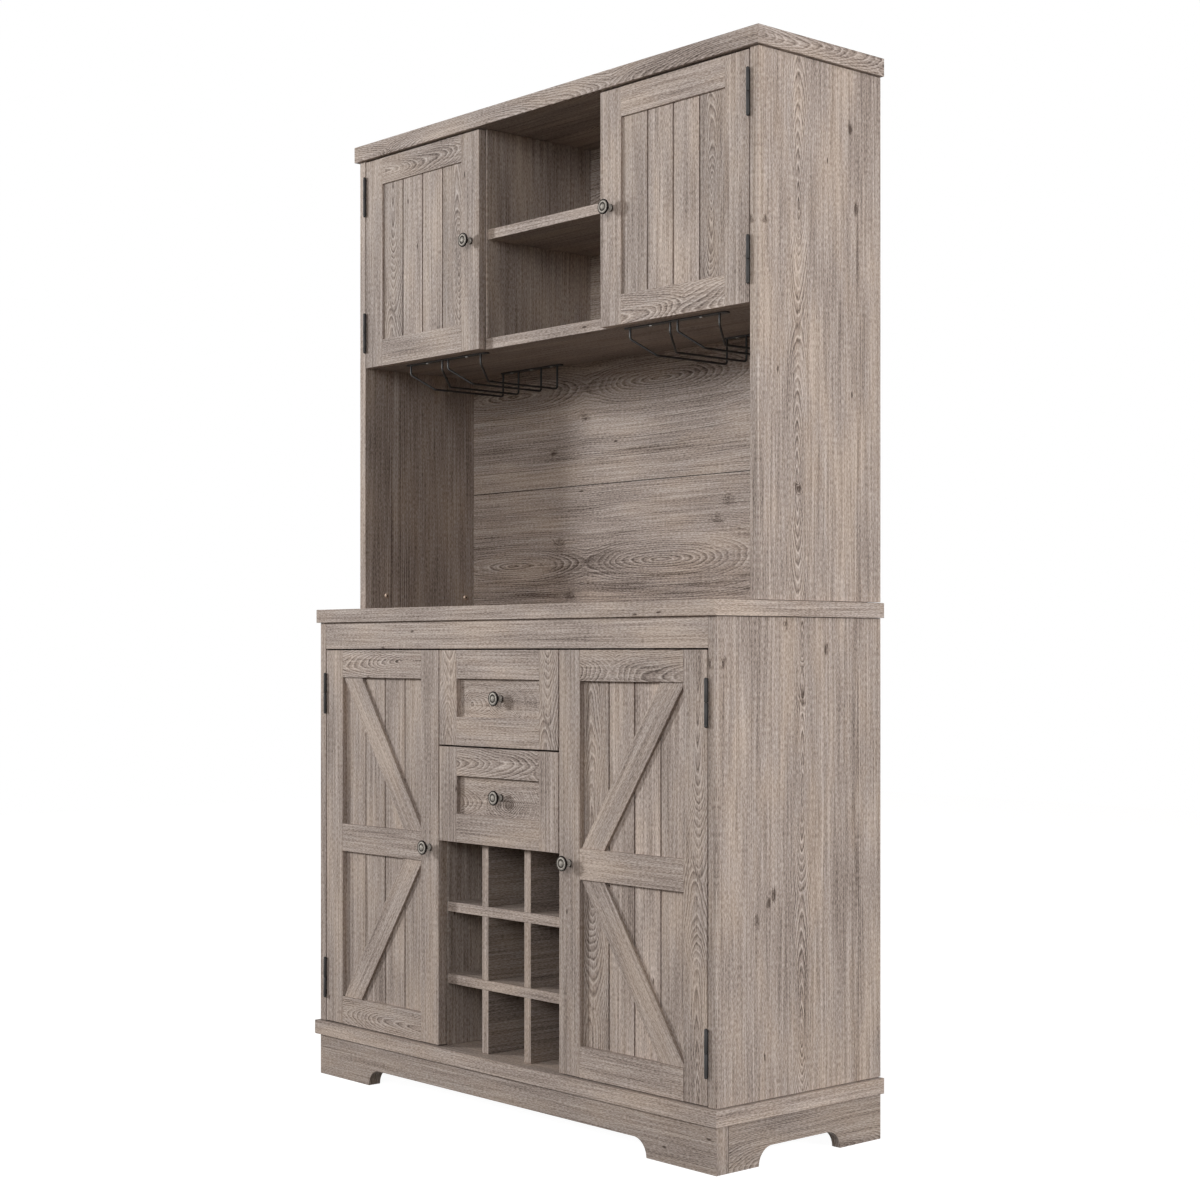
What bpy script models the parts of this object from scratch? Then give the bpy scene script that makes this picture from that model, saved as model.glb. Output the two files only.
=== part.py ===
"""Coffee bar cabinet: a base with two braced doors, two drawers and a wine rack, and a hutch with two
planked doors, an open bay, an open niche and two hanging glass racks.

Metres, +Z up, the front faces -Y. The origin is on the floor, at the middle of the width and of the depth
over the knobs. The word gap is a seam that can be seen or felt. The word seat is the hair of air between
two pieces that touch.
"""
import bpy
import bmesh
from math import cos, pi, radians, sin
from mathutils import Matrix, Vector

# Overall sizes
overall_height = 1.800
outer_width = 1.084
base_depth = 0.385
hutch_depth = 0.2925
board_overhang = 0.008

# Heights of the base
plinth_height = 0.0765
base_board_thickness = 0.026
counter_height = 0.8935
counter_thickness = 0.025
counter_corner_radius = 0.008
corner_steps = 4
apron_height = 0.0505
apron_thickness = 0.018

# Heights of the hutch
niche_height = 0.4725
hutch_bottom_thickness = 0.020
open_shelf_clear_height = 0.1812
open_shelf_thickness = 0.0185
top_board_thickness = 0.030

# Panels
side_thickness = 0.018
divider_thickness = 0.018
inner_shelf_thickness = 0.015
back_thickness = 0.005
back_inset = 0.0185
back_groove_depth = 0.006
back_seam_height = 0.238
back_seam_width = 0.0012
back_seam_depth = 0.001
edge_ease = 0.0008

# Clearances
seat = 0.0003
door_gap = 0.0025
hinge_gap = 0.0035
bumper_gap = 0.0015
open_shelf_setback = 0.002
inner_shelf_setback = 0.020
cut_overrun = 0.002

# Middle bays
base_bay_width = 0.333
hutch_bay_width = 0.328
hutch_divider_reveal = 0.003

# Doors
frame_width = 0.0525
lower_rail_width = 0.0517
upper_rail_width = 0.0505
lower_door_thickness = 0.0195
lower_panel_recess = 0.0100
upper_door_thickness = 0.0150
upper_panel_recess = 0.0040
brace_end_width = 0.057
plank_count = 4
plank_groove_width = 0.0022
plank_groove_depth = 0.0018
mid_rail_rise_share = 0.499

# Drawers
drawer_side_gap = 0.0018
drawer_front_height = 0.1695
drawer_front_gap = 0.003
drawer_front_recess = 0.0092
drawer_stile_width = 0.0505
drawer_rail_width = 0.0508
drawer_box_depth = 0.300
drawer_box_wall = 0.012
drawer_bottom_thickness = 0.004
drawer_bottom_rise = 0.008
drawer_box_floor_gap = 0.004
drawer_box_head_gap = 0.022
drawer_count = 2

# Drawer runners
runner_space = 0.0127
channel_height = 0.024
channel_metal = 0.0015
channel_reach = 0.0105
channel_setback = 0.002
channel_length = 0.296
channel_rise = 0.036
rail_clearance = 0.0005
rail_web_clearance = 0.001
rail_setback = 0.006

# Wine rack
rack_floor_thickness = 0.018
rack_reveal = 0.001
rack_board_thickness = 0.0175
rack_columns = 3
rack_rows = 3

# Shelf pins
pin_radius = 0.0025
pin_reach = 0.009
pin_root = 0.006
pin_sides = 10
pin_place_shares = (0.18, 0.82)

# Knobs
knob_head_radius = 0.013
knob_projection = 0.0205
knob_steps = 18
knob_profile_shares = (
    (0.00, 1.000),
    (0.24, 0.985),
    (0.40, 0.930),
    (0.46, 0.880),
    (0.60, 0.895),
    (0.70, 0.935),
    (0.80, 0.905),
    (0.92, 0.925),
    (1.00, 0.870),
    (1.00, 0.800),
    (0.84, 0.720),
    (0.36, 0.610),
    (0.30, 0.400),
    (0.36, 0.220),
    (0.57, 0.150),
    (0.57, 0.000),
    (0.00, 0.000),
)

# Hinges
hinge_length = 0.0785
hinge_barrel_radius = 0.003
hinge_pin_radius = 0.0012
hinge_bore_radius = 0.0016
hinge_pin_length = 0.024
hinge_bore_depth = 0.0255
hinge_split = 0.0006
hinge_leaf_thickness = 0.001
hinge_leaf_depth = 0.0125
hinge_leaf_start = 0.0006
hinge_proud = 0.0003
hinge_steps = 14
hinge_tip_steps = 3
upper_hinge_inset = 0.068
lower_hinge_inset = 0.0825

# Glass racks
glass_rack_side_gap = 0.0863
glass_channel_pitch = 0.117
glass_channel_width = 0.048
glass_mouth_width = 0.099
glass_wire_radius = 0.002
glass_wire_drop = 0.020
glass_level_drop = 0.0472
glass_slope_run = 0.0385
glass_rack_rear_gap = 0.0155
glass_rack_setback = 0.018
glass_bar_width = 0.014
glass_bar_thickness = 0.002
glass_bar_offset = 0.0045
glass_front_bar_length = 0.249
glass_rear_bar_length = 0.185
glass_bend_radius = 0.006
glass_bend_steps = 3

# Plinth
plinth_front_thickness = 0.026
front_foot_length = 0.160
side_front_foot_length = 0.0946
side_rear_foot_length = 0.1005
arch_height = 0.030
arch_steps = 6

# Lines that several pieces share
half_width = outer_width / 2
side_inner = half_width - side_thickness
back_y = (base_depth + knob_projection) / 2
base_front_y = back_y - base_depth
hutch_front_y = back_y - hutch_depth
back_panel_rear_y = back_y - back_inset
back_panel_front_y = back_panel_rear_y - back_thickness
base_board_top = plinth_height + base_board_thickness
counter_bottom = counter_height - counter_thickness
hutch_bottom_z = counter_height + niche_height
hutch_floor_z = hutch_bottom_z + hutch_bottom_thickness
top_board_bottom = overall_height - top_board_thickness
base_divider_front_y = base_front_y + lower_door_thickness + bumper_gap
hutch_divider_front_y = hutch_front_y + upper_door_thickness + bumper_gap
base_bay = base_bay_width / 2
hutch_bay = hutch_bay_width / 2
drawer_half_width = base_bay - drawer_side_gap
door_outer = side_inner - hinge_gap
lower_door_inner = drawer_half_width + door_gap
upper_door_inner = hutch_bay + hutch_divider_reveal
lower_door_bottom = base_board_top + door_gap
lower_door_top = counter_bottom - apron_height - door_gap
upper_door_bottom = hutch_bottom_z
upper_door_top = top_board_bottom - door_gap
drawer_pitch = drawer_front_height + drawer_front_gap
rack_roof = lower_door_top - drawer_count * drawer_pitch + drawer_front_gap + rack_reveal
hinge_x = side_inner - hinge_gap / 2

oak = ((0.376, 0.319, 0.278), 0.55, 0.0)
dark_wire = ((0.012, 0.012, 0.013), 0.42, 0.6)
black_steel = ((0.014, 0.014, 0.015), 0.45, 0.7)
pewter = ((0.150, 0.150, 0.145), 0.36, 0.95)
drawer_board = ((0.402, 0.345, 0.300), 0.60, 0.0)


def clear_scene():
    for old in list(bpy.data.objects):
        bpy.data.objects.remove(old, do_unlink=True)


def new_collection(name):
    made = bpy.data.collections.new(name)
    bpy.context.scene.collection.children.link(made)
    return made


def put_in(obj, home):
    for old in list(obj.users_collection):
        old.objects.unlink(obj)
    home.objects.link(obj)


def give_material(obj, finish):
    colour, roughness, metallic = finish
    material = bpy.data.materials.new(obj.name)
    material.use_nodes = True
    shader = material.node_tree.nodes["Principled BSDF"]
    shader.inputs["Base Color"].default_value = (*colour, 1)
    shader.inputs["Roughness"].default_value = roughness
    shader.inputs["Metallic"].default_value = metallic
    obj.data.materials.append(material)


def as_part(obj, finish):
    put_in(obj, parts)
    give_material(obj, finish)
    return obj


def as_tool(obj):
    """A shape that is only cut from, or joined to, another one."""
    put_in(obj, cutters)
    obj.hide_render = True
    obj.display_type = 'WIRE'
    return obj


def span(first, second):
    return (min(first, second), max(first, second))


def box(name, x, y, z):
    """A board between two corners, each axis given as a pair."""
    bpy.ops.mesh.primitive_cube_add(size=1)
    obj = bpy.context.object
    obj.name = name
    obj.location = [(low + high) / 2 for low, high in (x, y, z)]
    obj.scale = [high - low for low, high in (x, y, z)]
    bpy.ops.object.transform_apply(location=False, rotation=False, scale=True)
    return obj


def closed_mesh(obj):
    """Turn a curve object into a mesh object with its caps welded."""
    bpy.context.view_layer.update()
    evaluated = obj.evaluated_get(bpy.context.evaluated_depsgraph_get())
    mesh = bpy.data.meshes.new_from_object(evaluated)
    shape = bmesh.new()
    shape.from_mesh(mesh)
    bmesh.ops.remove_doubles(shape, verts=shape.verts, dist=weld_distance)
    bmesh.ops.recalc_face_normals(shape, faces=shape.faces)
    shape.to_mesh(mesh)
    shape.free()
    name = obj.name
    matrix = obj.matrix_world.copy()
    bpy.data.objects.remove(obj, do_unlink=True)
    made = bpy.data.objects.new(name, mesh)
    made.matrix_world = matrix
    bpy.context.scene.collection.objects.link(made)
    return made


def plate(name, outline, across, thickness):
    """A flat outline given thickness along an axis: (x, z) points for 'Y', (y, z) for 'X', (x, y) for 'Z'."""
    low, high = thickness
    curve = bpy.data.curves.new(name, 'CURVE')
    curve.dimensions = '2D'
    curve.fill_mode = 'BOTH'
    curve.extrude = (high - low) / 2
    spline = curve.splines.new('POLY')
    spline.points.add(len(outline) - 1)
    for point, (u, v) in zip(spline.points, outline):
        point.co = (u, v, 0, 1)
    spline.use_cyclic_u = True
    obj = bpy.data.objects.new(name, curve)
    bpy.context.scene.collection.objects.link(obj)
    middle = (low + high) / 2
    if across == 'Y':
        obj.rotation_euler = (radians(90), 0, 0)
        obj.location = (0, middle, 0)
    elif across == 'Z':
        obj.location = (0, 0, middle)
    else:
        obj.rotation_euler = (radians(90), 0, radians(90))
        obj.location = (middle, 0, 0)
    return closed_mesh(obj)


def wire(name, points, radius):
    """A round wire along a list of points."""
    curve = bpy.data.curves.new(name, 'CURVE')
    curve.dimensions = '3D'
    curve.bevel_depth = radius
    curve.bevel_resolution = 2
    curve.use_fill_caps = True
    spline = curve.splines.new('POLY')
    spline.points.add(len(points) - 1)
    for point, place in zip(spline.points, points):
        point.co = (*place, 1)
    obj = bpy.data.objects.new(name, curve)
    bpy.context.scene.collection.objects.link(obj)
    return closed_mesh(obj)


def turned(name, profile, steps):
    """A profile of (radius, height) points, from the top down its outer side, turned about local Z."""
    mesh = bpy.data.meshes.new(name)
    points = [(radius, 0, height) for radius, height in profile]
    mesh.from_pydata(points, [(i, i + 1) for i in range(len(points) - 1)], [])
    obj = bpy.data.objects.new(name, mesh)
    bpy.context.scene.collection.objects.link(obj)
    screw = obj.modifiers.new("turn", 'SCREW')
    screw.axis = 'Z'
    screw.steps = steps
    screw.render_steps = steps
    screw.use_merge_vertices = True
    screw.merge_threshold = weld_distance
    screw.use_smooth_shade = True
    return obj


def combine(obj, other, operation):
    as_tool(other)
    modifier = obj.modifiers.new(other.name, 'BOOLEAN')
    modifier.object = other
    modifier.operation = operation
    modifier.solver = 'EXACT'


def cut(obj, other):
    combine(obj, other, 'DIFFERENCE')


def join(obj, other):
    combine(obj, other, 'UNION')


def ease(obj):
    """Take the sharpness off a board's edges."""
    bevel = obj.modifiers.new("ease", 'BEVEL')
    bevel.width = edge_ease
    bevel.segments = 1
    bevel.limit_method = 'ANGLE'


def joint_empty(name, place):
    """The axis that a moving body turns about or slides from."""
    empty = bpy.data.objects.new(name, None)
    empty.location = place
    parts.objects.link(empty)
    return empty


def hang_on(empty, obj):
    obj.parent = empty
    obj.matrix_parent_inverse = Matrix.Translation(-Vector(empty.location))


def panelled_back(name, bottom, top):
    """A thin back panel let into the grooves of the side panels."""
    reach = side_inner + back_groove_depth - seat
    return box(name, (-reach, reach), (back_panel_front_y, back_panel_rear_y), (bottom + seat, top - seat))


def side_panel(name, sign, front_y, bottom, top, pin_shelf):
    """A side panel, grooved for the back, with pins under the inner shelf."""
    panel = box(name, span(sign * side_inner, sign * half_width), (front_y, back_y), (bottom + seat, top - seat))
    ease(panel)
    cut(panel, box(
        name + "_back_groove",
        span(sign * (side_inner - cut_overrun), sign * (side_inner + back_groove_depth)),
        (back_panel_front_y - seat, back_panel_rear_y + seat),
        (bottom - cut_overrun, top + cut_overrun)))
    add_shelf_pins(panel, sign * side_inner, -sign, pin_shelf)
    return as_part(panel, oak)


def add_shelf_pins(panel, face_x, direction, shelf):
    """Two pins stand out of a panel's face, a seat below the shelf that rests on them."""
    front_y, rear_y, shelf_bottom = shelf
    for number, share in enumerate(pin_place_shares):
        bpy.ops.mesh.primitive_cylinder_add(
            vertices=pin_sides, radius=pin_radius, depth=pin_root + pin_reach, rotation=(0, radians(90), 0),
            location=(
                face_x + direction * (pin_reach - pin_root) / 2,
                front_y + (rear_y - front_y) * share,
                shelf_bottom - seat - pin_radius))
        pin = bpy.context.object
        pin.name = panel.name + "_pin_" + str(number)
        join(panel, pin)


def inner_shelf_lines(divider_front_y, bottom, top):
    """Front, rear and underside of the shelf half way up a cabinet."""
    middle = (bottom + top - inner_shelf_thickness) / 2
    return (divider_front_y + inner_shelf_setback, back_panel_front_y - seat, middle)


def inner_shelf(name, sign, divider_outer, lines):
    front_y, rear_y, bottom = lines
    shelf = box(
        name, span(sign * (divider_outer + seat), sign * (side_inner - seat)), (front_y, rear_y),
        (bottom, bottom + inner_shelf_thickness))
    ease(shelf)
    return as_part(shelf, oak)


def overhanging_board(name, front_y, bottom, top, corner_radius=0):
    """A board that stands out over the panels at the front and the sides. Its front corners may be rounded."""
    reach = half_width + board_overhang
    board = box(name, (-reach, reach), (front_y - board_overhang, back_y), (bottom, top))
    if corner_radius:
        round_front_corners(board, corner_radius)
    ease(board)
    return as_part(board, oak)


def round_front_corners(board, radius):
    shape = bmesh.new()
    shape.from_mesh(board.data)
    corners = [
        edge for edge in shape.edges
        if all(vertex.co.y < 0 for vertex in edge.verts) and edge.verts[0].co.x * edge.verts[1].co.x > 0]
    bmesh.ops.bevel(
        shape, geom=corners, offset=radius, offset_type='OFFSET', affect='EDGES', segments=corner_steps,
        profile=0.5, material=-1)
    shape.to_mesh(board.data)
    shape.free()


def arched_outline(start, end, foot_start, foot_end, top):
    """A plinth board seen from its face: a plain board whose lower edge is cut away between two feet."""
    points = [(start, 0), (start, top), (end, top), (end, 0), (end - foot_end, 0)]
    for step in range(arch_steps + 1):
        angle = pi / 2 * step / arch_steps
        points.append((
            end - foot_end - arch_height * (1 - cos(angle)),
            arch_height * sin(angle)))
    for step in range(arch_steps + 1):
        angle = pi / 2 * (1 - step / arch_steps)
        points.append((
            start + foot_start + arch_height * (1 - cos(angle)),
            arch_height * sin(angle)))
    points.append((start + foot_start, 0))
    return without_repeats(points)


def without_repeats(points):
    kept = []
    for point in points:
        if not kept or (Vector(point) - Vector(kept[-1])).length > weld_distance:
            kept.append(point)
    return kept


def make_plinth():
    top = plinth_height - seat
    front = plate(
        "plinth_front", arched_outline(-half_width, half_width, front_foot_length, front_foot_length, top), 'Y',
        (base_front_y, base_front_y + plinth_front_thickness))
    as_part(front, oak)
    side_start = base_front_y + plinth_front_thickness + seat
    foot_start = side_front_foot_length - plinth_front_thickness - seat
    outline = arched_outline(side_start, back_y, foot_start, side_rear_foot_length, top)
    for side, sign in sides:
        board = plate("plinth_side_" + side, outline, 'X', span(sign * side_inner, sign * half_width))
        as_part(board, oak)


def make_base_carcass():
    overhanging_board("base_board", base_front_y, plinth_height, base_board_top)
    overhanging_board("countertop", base_front_y, counter_bottom, counter_height, counter_corner_radius)
    as_part(panelled_back("base_back", base_board_top, counter_bottom), oak)
    shelf = inner_shelf_lines(base_divider_front_y, base_board_top, counter_bottom)
    for side, sign in sides:
        side_panel("base_side_" + side, sign, base_front_y, base_board_top, counter_bottom, shelf)
        base_divider("base_divider_" + side, sign, shelf)
        inner_shelf("base_shelf_" + side, sign, base_bay + divider_thickness, shelf)
    apron = box(
        "front_apron", (seat - side_inner, side_inner - seat), (base_front_y, base_front_y + apron_thickness),
        (counter_bottom - apron_height, counter_bottom - seat))
    ease(apron)
    as_part(apron, oak)


def base_divider(name, sign, shelf):
    """A divider of the base, with pins for the cabinet's shelf and a channel for each drawer."""
    divider = box(
        name, span(sign * base_bay, sign * (base_bay + divider_thickness)),
        (base_divider_front_y, back_panel_front_y - seat), (base_board_top + seat, counter_bottom - seat))
    ease(divider)
    add_shelf_pins(divider, sign * (base_bay + divider_thickness), sign, shelf)
    for number in range(drawer_count):
        join(divider, drawer_channel(name + "_channel_" + str(number), sign, channel_middle(number)))
    return as_part(divider, oak)


def drawer_front_top(number):
    return lower_door_top - number * drawer_pitch


def drawer_box_bottom(number):
    lift = rack_reveal + rack_floor_thickness + drawer_box_floor_gap
    return drawer_front_top(number) - drawer_front_height + lift


def channel_middle(number):
    return drawer_box_bottom(number) + channel_rise


def drawer_channel(name, sign, middle):
    """The fixed half of a runner: a channel that is open towards the drawer."""
    half = channel_height / 2
    face = base_bay + channel_metal / 2
    open_face = base_bay - channel_reach
    inner = base_bay - channel_metal
    outline = [
        (face, middle - half), (face, middle + half),
        (open_face, middle + half), (open_face, middle + half - channel_metal),
        (inner, middle + half - channel_metal), (inner, middle - half + channel_metal),
        (open_face, middle - half + channel_metal), (open_face, middle - half)]
    start = base_divider_front_y + channel_setback
    return plate(name, [(sign * x, z) for x, z in outline], 'Y', (start, start + channel_length))


def make_wine_rack():
    rack_floor = box(
        "drawer_floor", (seat - base_bay, base_bay - seat), (base_divider_front_y, back_panel_front_y - seat),
        (rack_roof, rack_roof + rack_floor_thickness))
    ease(rack_floor)
    as_part(rack_floor, oak)
    clear_width = base_bay_width - (rack_columns - 1) * rack_board_thickness
    clear_height = rack_roof - base_board_top - (rack_rows - 1) * rack_board_thickness
    cell_width = clear_width / rack_columns
    cell_height = clear_height / rack_rows
    columns = [
        -base_bay + (i + 1) * cell_width + (i + 1 / 2) * rack_board_thickness for i in range(rack_columns - 1)]
    rows = [
        base_board_top + (i + 1) * cell_height + (i + 1 / 2) * rack_board_thickness for i in range(rack_rows - 1)]
    front = base_divider_front_y
    rear = back_panel_front_y - seat
    lap = (front + rear) / 2
    half = rack_board_thickness / 2
    slot = half + seat
    for number, height in enumerate(rows):
        shelf = box(
            "wine_shelf_" + str(number + 1), (seat - base_bay, base_bay - seat), (front, rear),
            (height - half, height + half))
        for place, x in enumerate(columns):
            cut(shelf, box(
                shelf.name + "_slot_" + str(place), (x - slot, x + slot), (lap - seat / 2, rear + cut_overrun),
                (height - half - cut_overrun, height + half + cut_overrun)))
        as_part(shelf, oak)
    for number, x in enumerate(columns):
        divider = box(
            "wine_divider_" + str(number + 1), (x - half, x + half), (front, rear),
            (base_board_top + seat, rack_roof - seat))
        for place, height in enumerate(rows):
            cut(divider, box(
                divider.name + "_slot_" + str(place), (x - half - cut_overrun, x + half + cut_overrun),
                (front - cut_overrun, lap + seat / 2), (height - slot, height + slot)))
        as_part(divider, oak)


def make_drawers():
    front_back = base_front_y + lower_door_thickness
    for number, name in enumerate(("upper", "lower")):
        top = drawer_front_top(number)
        slide = joint_empty("drawer_" + name + "_slide", (0, base_front_y, top - drawer_front_height / 2))
        front = box(
            "drawer_front_" + name, (-drawer_half_width, drawer_half_width), (base_front_y, front_back),
            (top - drawer_front_height, top))
        ease(front)
        field = drawer_half_width - drawer_stile_width
        cut(front, box(
            front.name + "_field", (-field, field), (base_front_y - cut_overrun, base_front_y + drawer_front_recess),
            (top - drawer_front_height + drawer_rail_width, top - drawer_rail_width)))
        as_part(front, oak)
        hang_on(slide, front)
        hang_on(slide, drawer_box("drawer_box_" + name, number, front_back + seat))
        knob = make_knob(
            "drawer_knob_" + name, 0, base_front_y + drawer_front_recess, top - drawer_front_height / 2)
        hang_on(slide, knob)


def drawer_box(name, number, front_y):
    """An open box with its bottom let in above the lower edges, and the moving half of each runner."""
    half = base_bay - runner_space
    bottom = drawer_box_bottom(number)
    top = drawer_front_top(number) - drawer_box_head_gap
    rear_y = front_y + drawer_box_depth
    inner = half - drawer_box_wall
    body = box(name, (-half, half), (front_y, rear_y), (bottom, top))
    floor_bottom = bottom + drawer_bottom_rise
    inside = (front_y + drawer_box_wall, rear_y - drawer_box_wall)
    cut(body, box(name + "_inside", (-inner, inner), inside, (floor_bottom + drawer_bottom_thickness, top + cut_overrun)))
    cut(body, box(name + "_under", (-inner, inner), inside, (bottom - cut_overrun, floor_bottom)))
    middle = channel_middle(number)
    rail_half = channel_height / 2 - channel_metal - rail_clearance
    rail_reach = base_bay - channel_metal - rail_web_clearance
    for side, sign in sides:
        join(body, box(
            name + "_rail_" + side, span(sign * (half - drawer_box_wall / 2), sign * rail_reach),
            (front_y + rail_setback, rear_y - rail_setback), (middle - rail_half, middle + rail_half)))
    return as_part(body, drawer_board)


def make_knob(name, x, face_y, z):
    """A round knob that stands on a face, its rings turned in one profile."""
    base = seat
    height = knob_projection - seat
    profile = [(knob_head_radius * across, base + height * up) for across, up in knob_profile_shares]
    knob = turned(name, profile, knob_steps)
    knob.rotation_euler = (radians(90), 0, 0)
    knob.location = (x, face_y, z)
    return as_part(knob, pewter)


def cut_grooves(door, left, right, surface_y, bottom, top):
    """V grooves between the planks of a panel. They run on under the rails and braces that lie over it."""
    pitch = (right - left) / plank_count
    rise = seat / plank_groove_depth
    half = plank_groove_width / 2 * (1 + rise)
    for number in range(1, plank_count):
        x = left + number * pitch
        outline = [
            (x - half, surface_y - seat), (x + half, surface_y - seat), (x, surface_y + plank_groove_depth)]
        cut(door, plate(door.name + "_groove_" + str(number), outline, 'Z', (bottom, top)))


def upper_door(name, sign):
    left, right = span(sign * upper_door_inner, sign * door_outer)
    door = box(name, (left, right), (hutch_front_y, hutch_front_y + upper_door_thickness),
               (upper_door_bottom, upper_door_top))
    ease(door)
    field = (left + frame_width, right - frame_width)
    heights = (upper_door_bottom + upper_rail_width, upper_door_top - upper_rail_width)
    surface = hutch_front_y + upper_panel_recess
    cut(door, box(name + "_field", field, (hutch_front_y - cut_overrun, surface), heights))
    cut_grooves(door, *field, surface, *heights)
    return as_part(door, oak)


def brace_pockets(sign, field, heights, falls):
    """The two triangles of a field that its brace leaves open.

    The brace is cut square with the rails, and its ends are brace_end_width wide along them. It falls from the
    hinge side to the knob side where falls is true, and rises otherwise.
    """
    hinge_x_edge = max(field, key=abs)
    knob_x_edge = min(field, key=abs)
    low, high = heights
    start, end = (high, low) if falls else (low, high)
    hinge_shoulder = hinge_x_edge - sign * brace_end_width
    knob_shoulder = knob_x_edge + sign * brace_end_width
    return (
        [(hinge_shoulder, start), (knob_x_edge, start), (knob_x_edge, end)],
        [(hinge_x_edge, start), (knob_shoulder, end), (hinge_x_edge, end)])


def lower_door(name, sign):
    left, right = span(sign * lower_door_inner, sign * door_outer)
    door = box(name, (left, right), (base_front_y, base_front_y + lower_door_thickness),
               (lower_door_bottom, lower_door_top))
    ease(door)
    field = (left + frame_width, right - frame_width)
    surface = base_front_y + lower_panel_recess
    field_bottom = lower_door_bottom + lower_rail_width
    field_top = lower_door_top - lower_rail_width
    lower_field = (field_bottom, mid_rail_middle() - lower_rail_width / 2)
    upper_field = (mid_rail_middle() + lower_rail_width / 2, field_top)
    number = 0
    for heights, falls in ((upper_field, True), (lower_field, False)):
        for pocket in brace_pockets(sign, field, heights, falls):
            cut(door, plate(
                name + "_pocket_" + str(number), pocket, 'Y', (base_front_y - cut_overrun, surface)))
            number += 1
    cut_grooves(door, *field, surface, field_bottom, field_top)
    return as_part(door, oak)


def mid_rail_middle():
    return lower_door_bottom + (lower_door_top - lower_door_bottom) * mid_rail_rise_share


def hinge_profiles(middle):
    """Knuckles of the two leaves: the lower one with the pin, the upper one with its bore."""
    half = hinge_length / 2
    radius = hinge_barrel_radius
    arc = [pi / 2 * i / hinge_tip_steps for i in range(hinge_tip_steps + 1)]
    upper = [(radius * sin(a), middle + half - radius + radius * cos(a)) for a in arc]
    upper += [
        (radius, middle + hinge_split / 2),
        (hinge_bore_radius, middle + hinge_split / 2),
        (hinge_bore_radius, middle + hinge_bore_depth),
        (0, middle + hinge_bore_depth)]
    lower = [
        (0, middle + hinge_pin_length),
        (hinge_pin_radius, middle + hinge_pin_length),
        (hinge_pin_radius, middle - hinge_split / 2),
        (radius, middle - hinge_split / 2)]
    lower += [(radius * cos(a), middle - half + radius - radius * sin(a)) for a in arc]
    return upper, lower


def leaf_outline(front_y, axis_y, middle, upper_half):
    """A leaf seen from the side: a plate in the door gap with a neck to its own knuckle."""
    reach = hinge_length / 2 - hinge_barrel_radius
    neck_y = axis_y + (hinge_bore_radius + hinge_barrel_radius) / 2
    start_y = front_y + hinge_leaf_start
    end_y = front_y + hinge_leaf_depth
    turn = 1 if upper_half else -1
    return [
        (end_y, middle - turn * reach), (end_y, middle + turn * reach),
        (neck_y, middle + turn * reach), (neck_y, middle + turn * hinge_split),
        (start_y, middle + turn * hinge_split), (start_y, middle - turn * reach)]


def make_hinge(name, sign, front_y, middle, door_axis):
    """A butt hinge in the gap beside a door: its barrel stands in front of the gap."""
    axis_y = hinge_axis_y(front_y)
    upper, lower = hinge_profiles(middle)
    door_face = sign * (door_outer + seat)
    side_face = sign * (side_inner - seat)
    for leaf, profile, edge, step, upper_half in (
            ("door_leaf", upper, door_face, sign, True), ("frame_leaf", lower, side_face, -sign, False)):
        plate_x = span(edge, edge + step * hinge_leaf_thickness)
        piece = plate(name + "_" + leaf, leaf_outline(front_y, axis_y, middle, upper_half), 'X', plate_x)
        knuckle = turned(piece.name + "_knuckle", profile, hinge_steps)
        knuckle.location = (sign * hinge_x, axis_y, 0)
        join(piece, knuckle)
        as_part(piece, black_steel)
        if leaf == "door_leaf":
            hang_on(door_axis, piece)


def hinge_axis_y(front_y):
    return front_y - hinge_barrel_radius - hinge_proud


def make_doors():
    rows = (
        ("upper", upper_door, hutch_front_y, upper_door_bottom, upper_door_top, upper_hinge_inset,
         (upper_door_bottom + upper_door_top) / 2, upper_door_inner),
        ("lower", lower_door, base_front_y, lower_door_bottom, lower_door_top, lower_hinge_inset,
         mid_rail_middle(), lower_door_inner))
    for row, make_door, front_y, bottom, top, inset, knob_z, inner in rows:
        for side, sign in sides:
            name = row + "_" + side
            axis = joint_empty("door_" + name + "_axis", (sign * hinge_x, hinge_axis_y(front_y), bottom))
            hang_on(axis, make_door("door_" + name, sign))
            hang_on(axis, make_knob("door_knob_" + name, sign * (inner + frame_width / 2), front_y, knob_z))
            make_hinge("hinge_" + name + "_top", sign, front_y, top - inset, axis)
            make_hinge("hinge_" + name + "_bottom", sign, front_y, bottom + inset, axis)


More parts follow.
